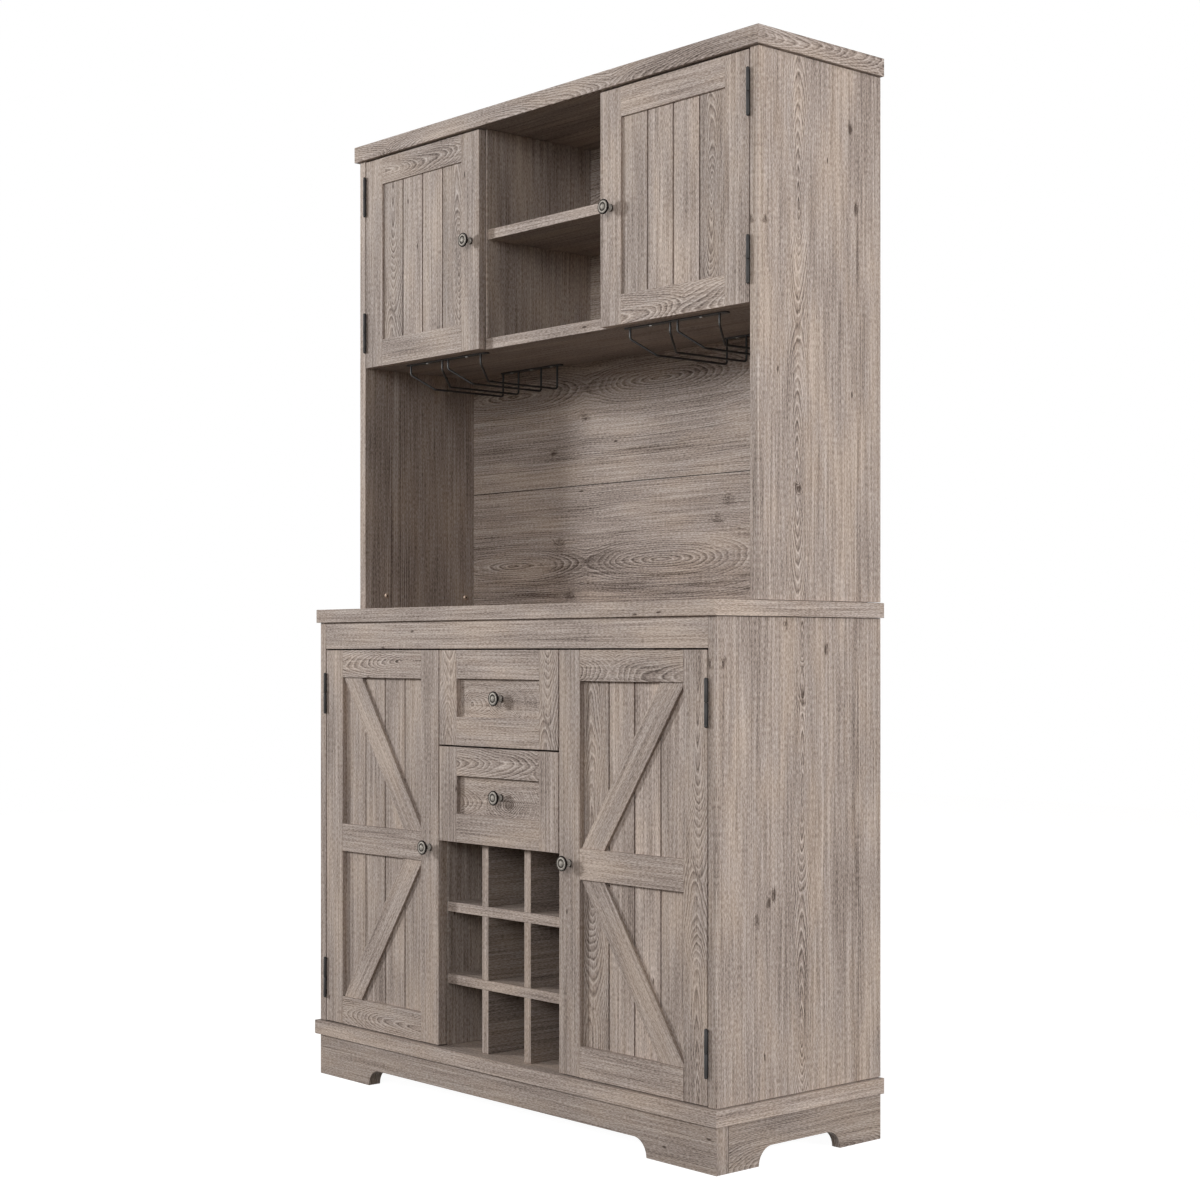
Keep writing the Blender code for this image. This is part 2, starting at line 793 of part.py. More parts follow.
def make_hutch():
    overhanging_board("hutch_top_board", hutch_front_y, top_board_bottom, overall_height)
    back = panelled_back("hutch_back", counter_height, top_board_bottom)
    seam = counter_height + back_seam_height
    reach = side_inner + back_groove_depth + cut_overrun
    cut(back, box(
        "hutch_back_seam", (-reach, reach), (back_panel_front_y - cut_overrun, back_panel_front_y + back_seam_depth),
        (seam - back_seam_width / 2, seam + back_seam_width / 2)))
    as_part(back, oak)
    shelf = inner_shelf_lines(hutch_divider_front_y, hutch_floor_z, top_board_bottom)
    rear_y = back_panel_front_y - seat
    for side, sign in sides:
        side_panel("hutch_side_" + side, sign, hutch_front_y, counter_height, top_board_bottom, shelf)
        divider = box(
            "hutch_divider_" + side, span(sign * hutch_bay, sign * (hutch_bay + divider_thickness)),
            (hutch_divider_front_y, rear_y), (hutch_floor_z + seat, top_board_bottom - seat))
        ease(divider)
        add_shelf_pins(divider, sign * (hutch_bay + divider_thickness), sign, shelf)
        as_part(divider, oak)
        inner_shelf("hutch_shelf_" + side, sign, hutch_bay + divider_thickness, shelf)
    bottom = box(
        "hutch_bottom", (seat - side_inner, side_inner - seat), (hutch_divider_front_y, rear_y),
        (hutch_bottom_z, hutch_floor_z))
    ease(bottom)
    as_part(bottom, oak)
    shelf_bottom = hutch_floor_z + open_shelf_clear_height
    open_shelf = box(
        "hutch_open_shelf", (seat - hutch_bay, hutch_bay - seat),
        (hutch_divider_front_y + open_shelf_setback, rear_y), (shelf_bottom, shelf_bottom + open_shelf_thickness))
    ease(open_shelf)
    as_part(open_shelf, oak)


def rounded_path(corners, radius, steps):
    """Join straight runs with arcs of one radius."""
    points = [Vector(corners[0])]
    for before, corner, after in zip(corners, corners[1:], corners[2:]):
        before, corner, after = Vector(before), Vector(corner), Vector(after)
        into = (corner - before).normalized()
        out = (after - corner).normalized()
        turn = into.angle(out)
        reach = radius * (1 - cos(turn)) / sin(turn)
        inward = (out - into).normalized()
        centre = corner + inward * (radius / cos(turn / 2))
        start = corner - into * reach - centre
        normal = start.cross(corner + out * reach - centre).normalized()
        for step in range(steps + 1):
            points.append(centre + Matrix.Rotation(turn * step / steps, 3, normal) @ start)
    points.append(Vector(corners[-1]))
    return points


def make_glass_rack(name, sign):
    """Four bent wires hang from two flat bars and make two channels with flared mouths."""
    centre = sign * (side_inner - glass_rack_side_gap - glass_front_bar_length / 2)
    wire_front = hutch_divider_front_y + glass_rack_setback
    bar_top = hutch_bottom_z - seat
    bar_bottom = bar_top - glass_bar_thickness
    root = (bar_top + bar_bottom) / 2
    half_bar = glass_bar_width / 2
    front_y = wire_front + glass_bar_offset
    rear_y = back_panel_front_y - glass_rack_rear_gap - half_bar
    wire_rear = rear_y - glass_bar_offset
    rack = box(
        name, (centre - glass_front_bar_length / 2, centre + glass_front_bar_length / 2),
        (front_y - half_bar, front_y + half_bar), (bar_bottom, bar_top))
    rear_bar = box(
        name + "_rear_bar", (centre - glass_rear_bar_length / 2, centre + glass_rear_bar_length / 2),
        (rear_y - half_bar, rear_y + half_bar), (bar_bottom, bar_top))
    number = 0
    for channel in (-1, 1):
        middle = centre + channel * glass_channel_pitch / 2
        for edge in (-1, 1):
            mouth = middle + edge * glass_mouth_width / 2
            level = middle + edge * glass_channel_width / 2
            corners = (
                (mouth, wire_front, root),
                (mouth, wire_front, hutch_bottom_z - glass_wire_drop),
                (level, wire_front + glass_slope_run, hutch_bottom_z - glass_level_drop),
                (level, wire_rear, hutch_bottom_z - glass_level_drop),
                (level, wire_rear, root))
            path = rounded_path(corners, glass_bend_radius, glass_bend_steps)
            join(rack, wire(name + "_wire_" + str(number), path, glass_wire_radius))
            number += 1
    join(rack, rear_bar)
    return as_part(rack, dark_wire)


weld_distance = 0.00001
sides = (("left", -1), ("right", 1))
clear_scene()
parts = new_collection("coffee bar cabinet")
cutters = new_collection("cutters")
make_plinth()
make_base_carcass()
make_wine_rack()
make_drawers()
make_hutch()
make_doors()
for side_name, side_sign in sides:
    make_glass_rack("glass_rack_" + side_name, side_sign)
bpy.context.view_layer.update()
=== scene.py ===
"""Coffee bar cabinet: the finished look of a base with braced doors, drawers and a wine rack, and of a
hutch with planked doors, an open bay and hanging glass racks.

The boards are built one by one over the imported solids. Each carries a UV map called Grain, in metres, whose
U runs along its grain, so the oak print follows every board. It is laid out as an add-on and run as a
script.
"""

import itertools
from math import cos, pi, radians, sin

import bmesh
import bpy
from mathutils import Matrix, Vector


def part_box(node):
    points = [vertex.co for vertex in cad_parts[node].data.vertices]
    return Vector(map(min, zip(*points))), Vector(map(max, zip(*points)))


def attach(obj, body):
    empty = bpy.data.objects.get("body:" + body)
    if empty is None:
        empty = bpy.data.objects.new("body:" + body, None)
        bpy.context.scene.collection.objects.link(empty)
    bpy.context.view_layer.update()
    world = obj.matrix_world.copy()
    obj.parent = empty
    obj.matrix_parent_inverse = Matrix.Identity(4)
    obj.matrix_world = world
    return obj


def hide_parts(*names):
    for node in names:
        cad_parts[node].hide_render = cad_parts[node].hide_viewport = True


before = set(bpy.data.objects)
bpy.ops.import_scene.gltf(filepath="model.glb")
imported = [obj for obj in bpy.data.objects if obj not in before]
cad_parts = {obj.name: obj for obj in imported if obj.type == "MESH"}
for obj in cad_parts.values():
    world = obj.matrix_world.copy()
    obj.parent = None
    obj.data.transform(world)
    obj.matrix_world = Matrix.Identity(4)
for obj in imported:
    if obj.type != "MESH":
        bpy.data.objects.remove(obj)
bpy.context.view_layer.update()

bl_info = {
    "name": "Coffee Bar Cabinet",
    "version": (1, 0, 0),
    "blender": (4, 5, 0),
    "location": "3D View > Sidebar > Cabinet",
    "description": "Builds a coffee bar cabinet in grey oak laminate over its packed solids",
    "category": "Object",
}

axes = {'X': Vector((1, 0, 0)), 'Y': Vector((0, 1, 0)), 'Z': Vector((0, 0, 1))}
sides = (("left", -1), ("right", 1))
# The air between two pieces that touch, and how far a face stays behind one that it would lie in.
seat = 0.0003
hair = 0.0002
board_numbers = itertools.count(1)
made_finishes = {}


def linear(colour):
    """An sRGB hex colour as Blender's linear values."""
    channels = [int(colour[place:place + 2], 16) / 255 for place in (1, 3, 5)]
    return [c / 12.92 if c <= 0.04045 else ((c + 0.055) / 1.055) ** 2.4 for c in channels] + [1.0]


def a_length(name, description, default):
    return bpy.props.FloatProperty(
        name=name, description=description, default=default, min=0, precision=5, unit='LENGTH')


def a_colour(name, description, default):
    return bpy.props.FloatVectorProperty(
        name=name, description=description, default=linear(default), size=4, min=0, max=1, subtype='COLOR')


def a_power(name, description, default):
    return bpy.props.FloatProperty(name=name, description=description, default=default, min=0, unit='POWER')


class CabinetSizes(bpy.types.PropertyGroup):
    """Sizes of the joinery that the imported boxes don't give."""
    panel: a_length("Panel", "Thickness of the sides and dividers", 0.018)
    base_bay: a_length("Base bay", "Clear width between the dividers of the base", 0.333)
    hutch_bay: a_length("Hutch bay", "Clear width between the dividers of the hutch", 0.328)
    edge: a_length("Edge", "Radius of the eased edges of a board", 0.0007)
    joint_edge: a_length("Joint edge", "Radius of an edge where stile and rail meet", 0.00025)
    stile: a_length("Stile", "Width of the stiles of a door", 0.0525)
    lower_rail: a_length("Lower door rail", "Width of the rails of a lower door", 0.0517)
    upper_rail: a_length("Upper door rail", "Width of the rails of an upper door", 0.0505)
    drawer_stile: a_length("Drawer stile", "Width of the stiles of a drawer front", 0.0505)
    drawer_rail: a_length("Drawer rail", "Width of the rails of a drawer front", 0.0508)
    brace: a_length("Brace end", "Width of a brace where it meets a rail, measured along the rail", 0.057)
    brace_step: a_length("Brace step", "How far a brace lies behind the face of the frame", 0.0038)
    hinge_lip: a_length("Hinge lip", "How far the hinge stile covers the hinge's leaf", 0.0014)
    groove: a_length("Plank groove", "Width of the gap between two planks", 0.0031)
    groove_depth: a_length("Groove depth", "Depth of the gap between two planks", 0.0042)
    upper_recess: a_length("Upper door recess", "How far an upper door's planks lie behind it", 0.004)
    lower_recess: a_length("Lower door recess", "How far a lower door's planks lie behind it", 0.010)
    drawer_recess: a_length("Drawer recess", "How far a drawer's panel lies behind its frame", 0.0092)
    back_groove: a_length("Back groove", "How deep a back sits in a side panel", 0.006)
    board_joint: a_length("Board joint", "Dark joint between a panel and the board it meets", 0.0009)
    back_seam: a_length("Back seam", "Height of the joint between the hutch's two back sheets", 1.1315)
    counter_corner: a_length("Countertop corner", "Radius of the front corners of the countertop", 0.008)
    arch_rise: a_length("Plinth arch", "Height of the cut-outs in the plinth", 0.030)
    rack_board: a_length("Rack board", "Thickness of the boards of the wine rack", 0.0175)
    box_width: a_length("Drawer box", "Width of a drawer box between its rails", 0.3076)
    box_wall: a_length("Drawer wall", "Thickness of the walls of a drawer box", 0.012)
    box_floor: a_length("Drawer floor", "Thickness of the bottom of a drawer box", 0.004)
    box_floor_rise: a_length("Drawer floor height", "How high a drawer's bottom sits in its walls", 0.008)
    runner_rise: a_length("Runner height", "Height of a runner's middle over the foot of the box", 0.036)
    rail: a_length("Rail", "Height of the rail on a drawer box", 0.020)
    rail_reach: a_length("Rail reach", "Distance of a rail's outer face from the middle of the box", 0.1640)
    rail_setback: a_length("Rail setback", "How far a rail ends short of the box, front and rear", 0.006)
    channel: a_length("Channel", "Height of the steel channel on a divider", 0.024)
    channel_reach: a_length("Channel reach", "How far a channel stands out from its divider", 0.0105)
    channel_metal: a_length("Channel metal", "Thickness of the steel of a channel", 0.0015)
    channel_length: a_length("Channel length", "Length of a channel", 0.296)
    channel_setback: a_length("Channel setback", "How far behind the divider's edge it starts", 0.002)
    knob_radius: a_length("Knob", "Radius of a knob's head", 0.013)
    knob_depth: a_length("Knob projection", "How far a knob stands out", 0.0205)
    hinge_gap: a_length("Hinge gap", "Gap between a door and the side panel", 0.0035)
    barrel: a_length("Hinge barrel", "Radius of the barrel of a hinge", 0.003)
    pin_hole: a_length("Pin hole", "Radius of the hole in a door leaf's knuckle", 0.0016)
    hinge_pin: a_length("Hinge pin", "Radius of the pin of a hinge", 0.0012)
    leaf: a_length("Hinge leaf", "Thickness of a leaf of a hinge", 0.001)
    wire: a_length("Wire", "Radius of the wires of the glass racks", 0.002)
    wire_bend: a_length("Wire bend", "Radius of the bends of the wires", 0.006)
    channel_pitch: a_length("Glass channels", "Distance between the two channels of a glass rack", 0.117)
    mouth: a_length("Channel mouth", "Width between the wires at the front of a glass channel", 0.099)
    throat: a_length("Channel throat", "Width between the wires along a glass channel", 0.048)
    rack_drop: a_length("Rack drop", "How far the wires hang below the hutch", 0.0472)
    bar: a_length("Rack bar", "Width of the flat bars of a glass rack", 0.014)
    bar_metal: a_length("Bar metal", "Thickness of the flat bars of a glass rack", 0.002)
    shelf_pin: a_length("Shelf pin", "Radius of a shelf pin", 0.0025)
    hutch_screw: a_length("Hutch screw", "Radius of the head of a screw that holds the hutch", 0.0052)
    rack_screw: a_length("Rack screw", "Radius of the head of a screw of a glass rack", 0.0036)


class OakSettings(bpy.types.PropertyGroup):
    """Colours and grain of the oak laminate."""
    dark: a_colour("Dark grain", "Late wood, pores and knots", "#4f423b")
    middle: a_colour("Middle", "The colour that most of the board has", "#a6988f")
    light: a_colour("Light grain", "Limed lines between the rings", "#d2c7c0")
    ring: a_length("Ring", "Distance between two growth rings on boards and side panels", 0.0027)
    wide_ring: a_length("Wide ring", "Distance between two growth rings on the hutch's back", 0.0038)
    pore_width: a_length("Pore width", "Width of a pore mark, as coarse as the render can show", 0.0013)
    pore_length: a_length("Pore length", "Length of a pore mark along the grain", 0.0070)


class StageSettings(bpy.types.PropertyGroup):
    """Floor and lamps."""
    floor: a_length("Floor", "Side of the floor", 14.0)
    left_lamp: a_power("Left lamp", "Power of the softbox in front, far to the left", 425)
    front_lamp: a_power("Front lamp", "Power of the softbox in front, a little to the right", 138)
    side_lamp: a_power("Side lamp", "Power of the softbox on the right", 244)
    high_lamp: a_power("High lamp", "Power of the softbox above, in front to the right", 46)
    sky: bpy.props.FloatProperty(
        name="Room light", description="Strength of the light from all round", default=0.06, min=0)


def add_node(tree, kind, settings=None, links=None):
    """Add a node, set its sockets or properties by name, and link its inputs."""
    node = tree.nodes.new(kind)
    for name, value in (settings or {}).items():
        if isinstance(name, int) or name in node.inputs:
            node.inputs[name].default_value = value
        else:
            setattr(node, name, value)
    for name, source in (links or {}).items():
        tree.links.new(source.outputs[0] if hasattr(source, "outputs") else source, node.inputs[name])
    return node


def new_material(name):
    material = bpy.data.materials.new(name)
    material.use_nodes = True
    material.node_tree.nodes.clear()
    return material, material.node_tree


def weighted_sum(tree, start, parts):
    """Add noises that lie around one half, each with its own weight, to a starting value."""
    total = None
    level = start - sum(weight for weight, source in parts) / 2
    for weight, source in parts:
        step = add_node(tree, "ShaderNodeMath", {"operation": 'MULTIPLY_ADD', 1: weight}, {0: source})
        if total is None:
            step.inputs[2].default_value = level
        else:
            tree.links.new(total.outputs[0], step.inputs[2])
        total = step
    return total


def oak_laminate(name, heart=(0.0, 0.085), bends=None, marks=(), wide=False, plain=False):
    """Weathered oak print on melamine paper, pressed on particle board.

    To the eye it is matte and slightly embossed: grey-brown, with long soft streaks, nested arches where
    the log was cut flat, thin pale lines between the rings and short dark pores.

    heart is the V of a log's middle line, and half the distance to the next log's. bends is how deep the
    middle of the log lies below the face, as (u, depth) points: where it comes up, the rings close in an
    eye. Without bends the log's middle rises and sinks by itself. Each mark is (u, v, length, width, lift,
    darkness): a knot or a shadow, which the rings go round. A wide log grew fast, with its rings further
    apart, and the rings of a plain board are faint.
    """
    oak = bpy.context.scene.cabinet_oak
    material, tree = new_material(name)
    grain = add_node(tree, "ShaderNodeUVMap", {"uv_map": "Grain"})
    # The grain wanders by 1 or 2 mm over runs of 0.17 m and less, so that nothing is a true ellipse.
    wander_place = add_node(
        tree, "ShaderNodeVectorMath", {"operation": 'MULTIPLY', 1: (6, 45, 0)}, {0: grain})
    wander = add_node(
        tree, "ShaderNodeTexNoise", {"noise_dimensions": '2D', "Scale": 1, "Detail": 3, "Roughness": 0.45},
        {"Vector": wander_place})
    shake = add_node(
        tree, "ShaderNodeVectorMath", {"operation": 'MULTIPLY_ADD', 1: (0.030, 0.0032, 0)},
        {0: wander.outputs["Color"], 2: grain})
    bent = add_node(
        tree, "ShaderNodeVectorMath", {"operation": 'SUBTRACT', 1: (0.015, 0.0016, 0)}, {0: shake})
    # The log's slow sweep: up to 12 or 36 mm to the side, over most of a metre.
    sweep_place = add_node(
        tree, "ShaderNodeVectorMath", {"operation": 'MULTIPLY', 1: (1.3, 2.4, 0)}, {0: bent})
    sweep = add_node(
        tree, "ShaderNodeTexNoise", {"noise_dimensions": '2D', "Scale": 1, "Detail": 2, "Roughness": 0.5},
        {"Vector": sweep_place})
    split = add_node(tree, "ShaderNodeSeparateXYZ", {}, {0: bent})
    along, across = split.outputs[0], split.outputs[1]
    reach = 0.012 if bends else 0.036
    swept = add_node(
        tree, "ShaderNodeMath", {"operation": 'MULTIPLY_ADD', 1: reach}, {0: sweep, 2: across})
    centred = add_node(
        tree, "ShaderNodeMath", {"operation": 'SUBTRACT', 1: heart[0] + reach / 2}, {0: swept})
    beside = add_node(tree, "ShaderNodeMath", {"operation": 'PINGPONG', 1: heart[1]}, {0: centred})
    if bends:
        start, end, deepest = bends[0][0], bends[-1][0], max(depth for u, depth in bends)
        share = add_node(tree, "ShaderNodeMapRange", {"From Min": start, "From Max": end}, {"Value": along})
        depth = add_node(tree, "ShaderNodeFloatCurve", {}, {"Value": share})
        curve = depth.mapping.curves[0]
        curve.points[0].location = (0, bends[0][1] / deepest)
        curve.points[1].location = (1, bends[-1][1] / deepest)
        for u, below in bends[1:-1]:
            curve.points.new((u - start) / (end - start), below / deepest)
        for point in curve.points:
            point.handle_type = 'VECTOR'
        depth.mapping.update()
    else:
        # The log's middle runs down by 1 in 8 for 0.33 m and then up again, unevenly: nested arches.
        deepest = 0.13
        lane = add_node(tree, "ShaderNodeVectorMath", {"operation": 'MULTIPLY', 1: (3.2, 7, 0)}, {0: bent})
        slow = add_node(
            tree, "ShaderNodeTexNoise",
            {"noise_dimensions": '2D', "Scale": 1, "Detail": 2, "Roughness": 0.5}, {"Vector": lane})
        pushed = add_node(
            tree, "ShaderNodeMath", {"operation": 'MULTIPLY_ADD', 1: 0.3}, {0: slow, 2: along})
        depth = add_node(tree, "ShaderNodeMath", {"operation": 'PINGPONG', 1: 0.33}, {0: pushed})
    below = add_node(tree, "ShaderNodeMath", {"operation": 'MULTIPLY', 1: deepest}, {0: depth})
    arms = add_node(tree, "ShaderNodeCombineXYZ", {}, {0: beside, 1: below})
    rise = add_node(tree, "ShaderNodeVectorMath", {"operation": 'LENGTH'}, {0: arms}).outputs["Value"]
    shadow = None
    for u, v, length, width, lift, darkness in marks:
        place = add_node(
            tree, "ShaderNodeVectorMath",
            {"operation": 'MULTIPLY_ADD', 1: (1 / length, 1 / width, 0), 2: (-u / length, -v / width, 0)},
            {0: bent})
        off = add_node(tree, "ShaderNodeVectorMath", {"operation": 'LENGTH'}, {0: place})
        hill = add_node(
            tree, "ShaderNodeMapRange",
            {"interpolation_type": 'SMOOTHERSTEP', "From Min": 1, "From Max": 0, "To Min": 0, "To Max": 1},
            {"Value": off.outputs["Value"]})
        if lift:
            rise = add_node(
                tree, "ShaderNodeMath", {"operation": 'MULTIPLY_ADD', 1: lift}, {0: hill, 2: rise})
        if darkness:
            deeper = add_node(
                tree, "ShaderNodeMath", {"operation": 'MULTIPLY_ADD', 1: darkness, 2: 0}, {0: hill})
            if shadow:
                tree.links.new(shadow.outputs[0], deeper.inputs[2])
            shadow = deeper
    spacing = oak.wide_ring if wide else oak.ring
    rings = add_node(tree, "ShaderNodeMath", {"operation": 'DIVIDE', 1: spacing}, {0: rise})
    phase = add_node(tree, "ShaderNodeMath", {"operation": 'FRACT'}, {0: rings})
    # Round a ring: a pale limed line, the plain early wood, and then the late wood's dark line.
    ring_tone = add_node(tree, "ShaderNodeValToRGB", {}, {0: phase})
    for spot, value in ((0.05, 0.5), (0.16, 0.95), (0.30, 0.52), (0.62, 0.42), (0.84, 0.04)):
        ring_tone.color_ramp.elements.new(spot).color = (value, value, value, 1)
    for end in (0, -1):
        ring_tone.color_ramp.elements[end].color = (0.2, 0.2, 0.2, 1)
    ring_lane = add_node(tree, "ShaderNodeCombineXYZ", {}, {0: rings, 1: along})
    # Some rings are strong and others fade, over runs of about 0.2 m.
    ring_mix_place = add_node(
        tree, "ShaderNodeVectorMath", {"operation": 'MULTIPLY', 1: (0.4, 4.5, 0)}, {0: ring_lane})
    ring_mix = add_node(
        tree, "ShaderNodeTexNoise", {"noise_dimensions": '2D', "Scale": 1, "Detail": 2, "Roughness": 0.6},
        {"Vector": ring_mix_place})
    # Close to the middle of the log the rings show most.
    fade = 0.05 if bends else 0.11
    near = add_node(
        tree, "ShaderNodeMapRange", {"From Min": 0.0, "From Max": fade, "To Min": 0.34, "To Max": 0.0},
        {"Value": rise})
    seen = add_node(tree, "ShaderNodeMath", {"operation": 'ADD'}, {0: ring_mix, 1: near})
    ring_strength = add_node(
        tree, "ShaderNodeMapRange", {"From Min": 0.42, "From Max": 0.78, "To Min": 0.1, "To Max": 1.0},
        {"Value": seen})
    ring_part = add_node(
        tree, "ShaderNodeMix", {"data_type": 'FLOAT', 2: 0.5}, {0: ring_strength, 3: ring_tone})
    # Streaks that follow the rings, up to three rings wide.
    streak_place = add_node(
        tree, "ShaderNodeVectorMath", {"operation": 'MULTIPLY', 1: (0.3, 0.9, 0)}, {0: ring_lane})
    streak = add_node(
        tree, "ShaderNodeTexNoise", {"noise_dimensions": '2D', "Scale": 1, "Detail": 6, "Roughness": 0.72},
        {"Vector": streak_place})
    # Straight fibres, 4 mm apart and less, that run on for 0.2 m or so.
    fibre_place = add_node(
        tree, "ShaderNodeVectorMath", {"operation": 'MULTIPLY', 1: (5, 270, 0)}, {0: grain})
    fibre = add_node(
        tree, "ShaderNodeTexNoise", {"noise_dimensions": '2D', "Scale": 1, "Detail": 5, "Roughness": 0.74},
        {"Vector": fibre_place})
    pore_place = add_node(
        tree, "ShaderNodeVectorMath",
        {"operation": 'MULTIPLY', 1: (1 / oak.pore_length, 1 / oak.pore_width, 0)}, {0: grain})
    pore = add_node(
        tree, "ShaderNodeTexNoise", {"noise_dimensions": '2D', "Scale": 1, "Detail": 2, "Roughness": 0.6},
        {"Vector": pore_place})
    speck = add_node(
        tree, "ShaderNodeMapRange",
        {"interpolation_type": 'SMOOTHSTEP', "From Min": 0.36, "From Max": 0.64}, {"Value": pore})
    # The paper's cloudy toning, in patches of about 0.25 m by 70 mm.
    cloud_place = add_node(
        tree, "ShaderNodeVectorMath", {"operation": 'MULTIPLY', 1: (4, 15, 0)}, {0: grain})
    cloud = add_node(
        tree, "ShaderNodeTexNoise", {"noise_dimensions": '2D', "Scale": 1, "Detail": 1, "Roughness": 0.5},
        {"Vector": cloud_place})
    ring_weight = 0.4 if plain else 0.7 if bends else 0.6
    total = weighted_sum(
        tree, 0.54, ((ring_weight, ring_part), (0.46, streak), (0.96, fibre), (0.30, speck), (0.40, cloud)))
    # Pin knots: a dark spot of about 9 mm by 3 mm in a few of the cells, each about 90 mm by 30 mm.
    pin_place = add_node(
        tree, "ShaderNodeVectorMath", {"operation": 'MULTIPLY', 1: (11, 34, 0)}, {0: bent})
    pin = add_node(
        tree, "ShaderNodeTexVoronoi", {"voronoi_dimensions": '2D', "Scale": 1}, {"Vector": pin_place})
    pin_spot = add_node(
        tree, "ShaderNodeMapRange",
        {"interpolation_type": 'SMOOTHERSTEP', "From Min": 0.10, "From Max": 0.02, "To Min": 0,
         "To Max": 0.55},
        {"Value": pin.outputs["Distance"]})
    pin_chance = add_node(
        tree, "ShaderNodeMath", {"operation": 'GREATER_THAN', 1: 0.88}, {0: pin.outputs["Color"]})
    pins = add_node(tree, "ShaderNodeMath", {"operation": 'MULTIPLY'}, {0: pin_spot, 1: pin_chance})
    total = add_node(tree, "ShaderNodeMath", {"operation": 'SUBTRACT'}, {0: total, 1: pins})
    if shadow:
        # A knot isn't an even spot: dark threads of the grain run through it.
        threads = add_node(
            tree, "ShaderNodeMapRange", {"From Min": 0.38, "From Max": 0.62, "To Min": 1.3, "To Max": 0.6},
            {"Value": fibre})
        knot = add_node(tree, "ShaderNodeMath", {"operation": 'MULTIPLY'}, {0: shadow, 1: threads})
        total = add_node(tree, "ShaderNodeMath", {"operation": 'SUBTRACT'}, {0: total, 1: knot})
    colour = add_node(tree, "ShaderNodeValToRGB", {}, {0: total})
    ramp = colour.color_ramp
    ramp.elements[0].position = 0.04
    ramp.elements[0].color = oak.dark
    ramp.elements[1].position = 0.88
    ramp.elements[1].color = oak.light
    ramp.elements.new(0.5).color = oak.middle
    # Some patches of the print are browner, and others greyer.
    warmth_place = add_node(
        tree, "ShaderNodeVectorMath", {"operation": 'MULTIPLY', 1: (4, 15, 0)}, {0: bent})
    warmth = add_node(
        tree, "ShaderNodeTexNoise", {"noise_dimensions": '2D', "Scale": 1, "Detail": 3, "Roughness": 0.6},
        {"Vector": warmth_place})
    warm = add_node(tree, "ShaderNodeMapRange", {"From Min": 0.42, "From Max": 0.66}, {"Value": warmth})
    browned = add_node(
        tree, "ShaderNodeMix", {"data_type": 'RGBA', "blend_type": 'MULTIPLY', 7: linear("#fbf6ef")},
        {0: warm, 6: colour})
    tone = add_node(tree, "ShaderNodeAttribute", {"attribute_name": "tone"})
    toned = add_node(
        tree, "ShaderNodeVectorMath", {"operation": 'SCALE'},
        {0: browned.outputs[2], 3: tone.outputs["Fac"]})
    rough = add_node(
        tree, "ShaderNodeMapRange", {"From Min": 0.2, "From Max": 0.8, "To Min": 0.68, "To Max": 0.52},
        {"Value": total})
    relief = add_node(
        tree, "ShaderNodeBump", {"Strength": 0.35, "Distance": 0.0003}, {"Height": total})
    shader = add_node(
        tree, "ShaderNodeBsdfPrincipled", {"IOR": 1.5, "Specular IOR Level": 0.2},
        {"Base Color": toned, "Roughness": rough, "Normal": relief})
    add_node(tree, "ShaderNodeOutputMaterial", {}, {0: shader})
    return material


def hardboard(name):
    """The raw side of a thin fibreboard back: brown, matte, with short matted fibres about 1 mm long."""
    material, tree = new_material(name)
    place = add_node(tree, "ShaderNodeTexCoord")
    fibre = add_node(
        tree, "ShaderNodeTexNoise", {"Scale": 700, "Detail": 3, "Roughness": 0.7},
        {"Vector": place.outputs["Object"]})
    cloud = add_node(
        tree, "ShaderNodeTexNoise", {"Scale": 6, "Detail": 3, "Roughness": 0.6},
        {"Vector": place.outputs["Object"]})
    mixed = weighted_sum(tree, 0.5, ((0.7, fibre), (0.5, cloud)))
    colour = add_node(tree, "ShaderNodeValToRGB", {}, {0: mixed})
    colour.color_ramp.elements[0].position = 0.2
    colour.color_ramp.elements[0].color = linear("#6d5a48")
    colour.color_ramp.elements[1].position = 0.8
    colour.color_ramp.elements[1].color = linear("#9a846c")
    relief = add_node(tree, "ShaderNodeBump", {"Strength": 0.4, "Distance": 0.0003}, {"Height": fibre})
    shader = add_node(
        tree, "ShaderNodeBsdfPrincipled", {"Roughness": 0.8, "Specular IOR Level": 0.3},
        {"Base Color": colour, "Normal": relief})
    add_node(tree, "ShaderNodeOutputMaterial", {}, {0: shader})
    return material


def plated_metal(name, dark, light, roughness, scratch):
    """Plated steel or zinc: it mirrors in its own colour, and fine wear of 3 mm and less dulls it."""
    material, tree = new_material(name)
    place = add_node(tree, "ShaderNodeTexCoord")
    wear = add_node(
        tree, "ShaderNodeTexNoise", {"Scale": scratch, "Detail": 4, "Roughness": 0.65},
        {"Vector": place.outputs["Object"]})
    colour = add_node(tree, "ShaderNodeValToRGB", {}, {0: wear})
    colour.color_ramp.elements[0].position = 0.3
    colour.color_ramp.elements[0].color = linear(dark)
    colour.color_ramp.elements[1].position = 0.7
    colour.color_ramp.elements[1].color = linear(light)
    rough = add_node(
        tree, "ShaderNodeMapRange",
        {"From Min": 0.3, "From Max": 0.7, "To Min": roughness + 0.1, "To Max": roughness}, {"Value": wear})
    relief = add_node(tree, "ShaderNodeBump", {"Strength": 0.15, "Distance": 0.0002}, {"Height": wear})
    shader = add_node(
        tree, "ShaderNodeBsdfPrincipled", {"Metallic": 1.0},
        {"Base Color": colour, "Roughness": rough, "Normal": relief})
    add_node(tree, "ShaderNodeOutputMaterial", {}, {0: shader})
    return material


